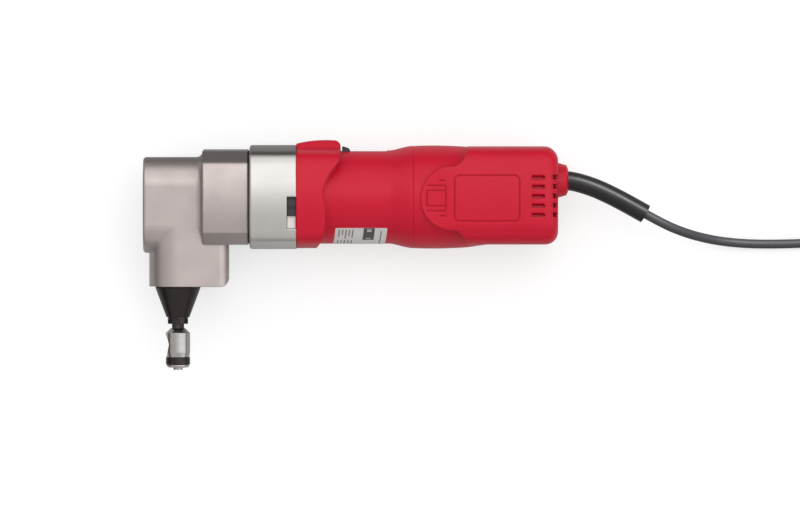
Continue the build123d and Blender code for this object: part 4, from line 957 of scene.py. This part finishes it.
# The points lie a little outside their turn, because the curve cuts the corners between them. In
# its last steps each turn moves over to the next one's place.
coil_points = []
for here, following in zip(turns[:-1], turns[1:]):
    for step in range(turn_points):
        share = max(0.0, (step - turn_points + step_points) / step_points)
        ease = share * share * (3 - 2 * share)
        radius = here[0] + (following[0] - here[0]) * ease
        height = here[1] + (following[1] - here[1]) * ease
        reach = radius / math.cos(math.pi / turn_points)
        coil_points.append(coil_point(coil_start + 360 * step / turn_points, reach, height))
for angle, radius in last_turn:
    coil_points.append(coil_point(angle, radius, rows[-1]))
route = [Vector(point) for point in cord_route]
route += coil_points
route += [Vector(point) for point in tail_route]
cord_curve = bpy.data.curves.new("cord_lead", "CURVE")
cord_curve.dimensions = "3D"
cord_curve.bevel_depth = cord_diameter / 2
cord_curve.bevel_resolution = 5
cord_curve.resolution_u = 6
cord_curve.use_fill_caps = True
spline = cord_curve.splines.new("NURBS")
spline.points.add(len(route) - 1)
for place, point in zip(spline.points, route):
    place.co = (*(point * MM), 1.0)
spline.order_u = 3
spline.use_endpoint_u = True
cord = bpy.data.objects.new("cord_lead", cord_curve)
bpy.context.scene.collection.objects.link(cord)
strip_lit.objects.link(cord)

# Extruded rubber sheath: black and matt, with a fine even grain, 1.4 grains to the millimetre.
sheath_grain = MM / 1.4
sheath_relief = 0.2 * MM
cord_rubber = bpy.data.materials.new("black_rubber_sheath")
cord_rubber.use_nodes = True
tree = cord_rubber.node_tree
tree.nodes.clear()
place = add_node(tree, "ShaderNodeTexCoord", {})
grain = add_node(
    tree,
    "ShaderNodeTexNoise",
    {"Vector": place.outputs["Object"], "Scale": 1 / sheath_grain, "Detail": 3.0},
)
shade = add_node(
    tree,
    "ShaderNodeMix",
    {0: grain.outputs["Fac"], 6: linear("#26262A"), 7: linear("#343438")},
    data_type="RGBA",
)
bump = add_node(
    tree,
    "ShaderNodeBump",
    {"Height": grain.outputs["Fac"], "Strength": 0.25, "Distance": sheath_relief},
)
sheath = add_node(
    tree,
    "ShaderNodeBsdfPrincipled",
    {"Base Color": shade.outputs[2], "Roughness": 0.5, "Normal": bump.outputs[0]},
)
add_node(tree, "ShaderNodeOutputMaterial", {"Surface": sheath.outputs[0]})
cord_curve.materials.append(cord_rubber)
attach(cord, "tool")
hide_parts("cord", "cord_coil", "cord_tail")

# Plug
# Two-pin mains plug: its body moulded of black PVC round the cord's end, its blades stamped from
# brass and nickel plated.

# Moulded PVC: black, satin, a little softer in gloss than the housings.
plug_pvc = surface(
    "moulded_black_pvc",
    ("#222122", "#2C2A2B"),
    patch=9.0 * MM,
    grain=0.5 * MM,
    depth=0.02 * MM,
    roughness=0.4,
)
dress(plug_pvc, "plug_body")
# Nickel-plated brass: bright with a warm tone and fine scratches.
nickel_brass = surface(
    "nickel_plated_brass",
    ("#C9C2B2", "#BBB4A4"),
    patch=4.0 * MM,
    grain=0.3 * MM,
    depth=0.008 * MM,
    roughness=0.25,
    metallic=1.0,
)
dress(nickel_brass, "plug_blades")

bpy.context.scene.view_settings.view_transform = "Standard"
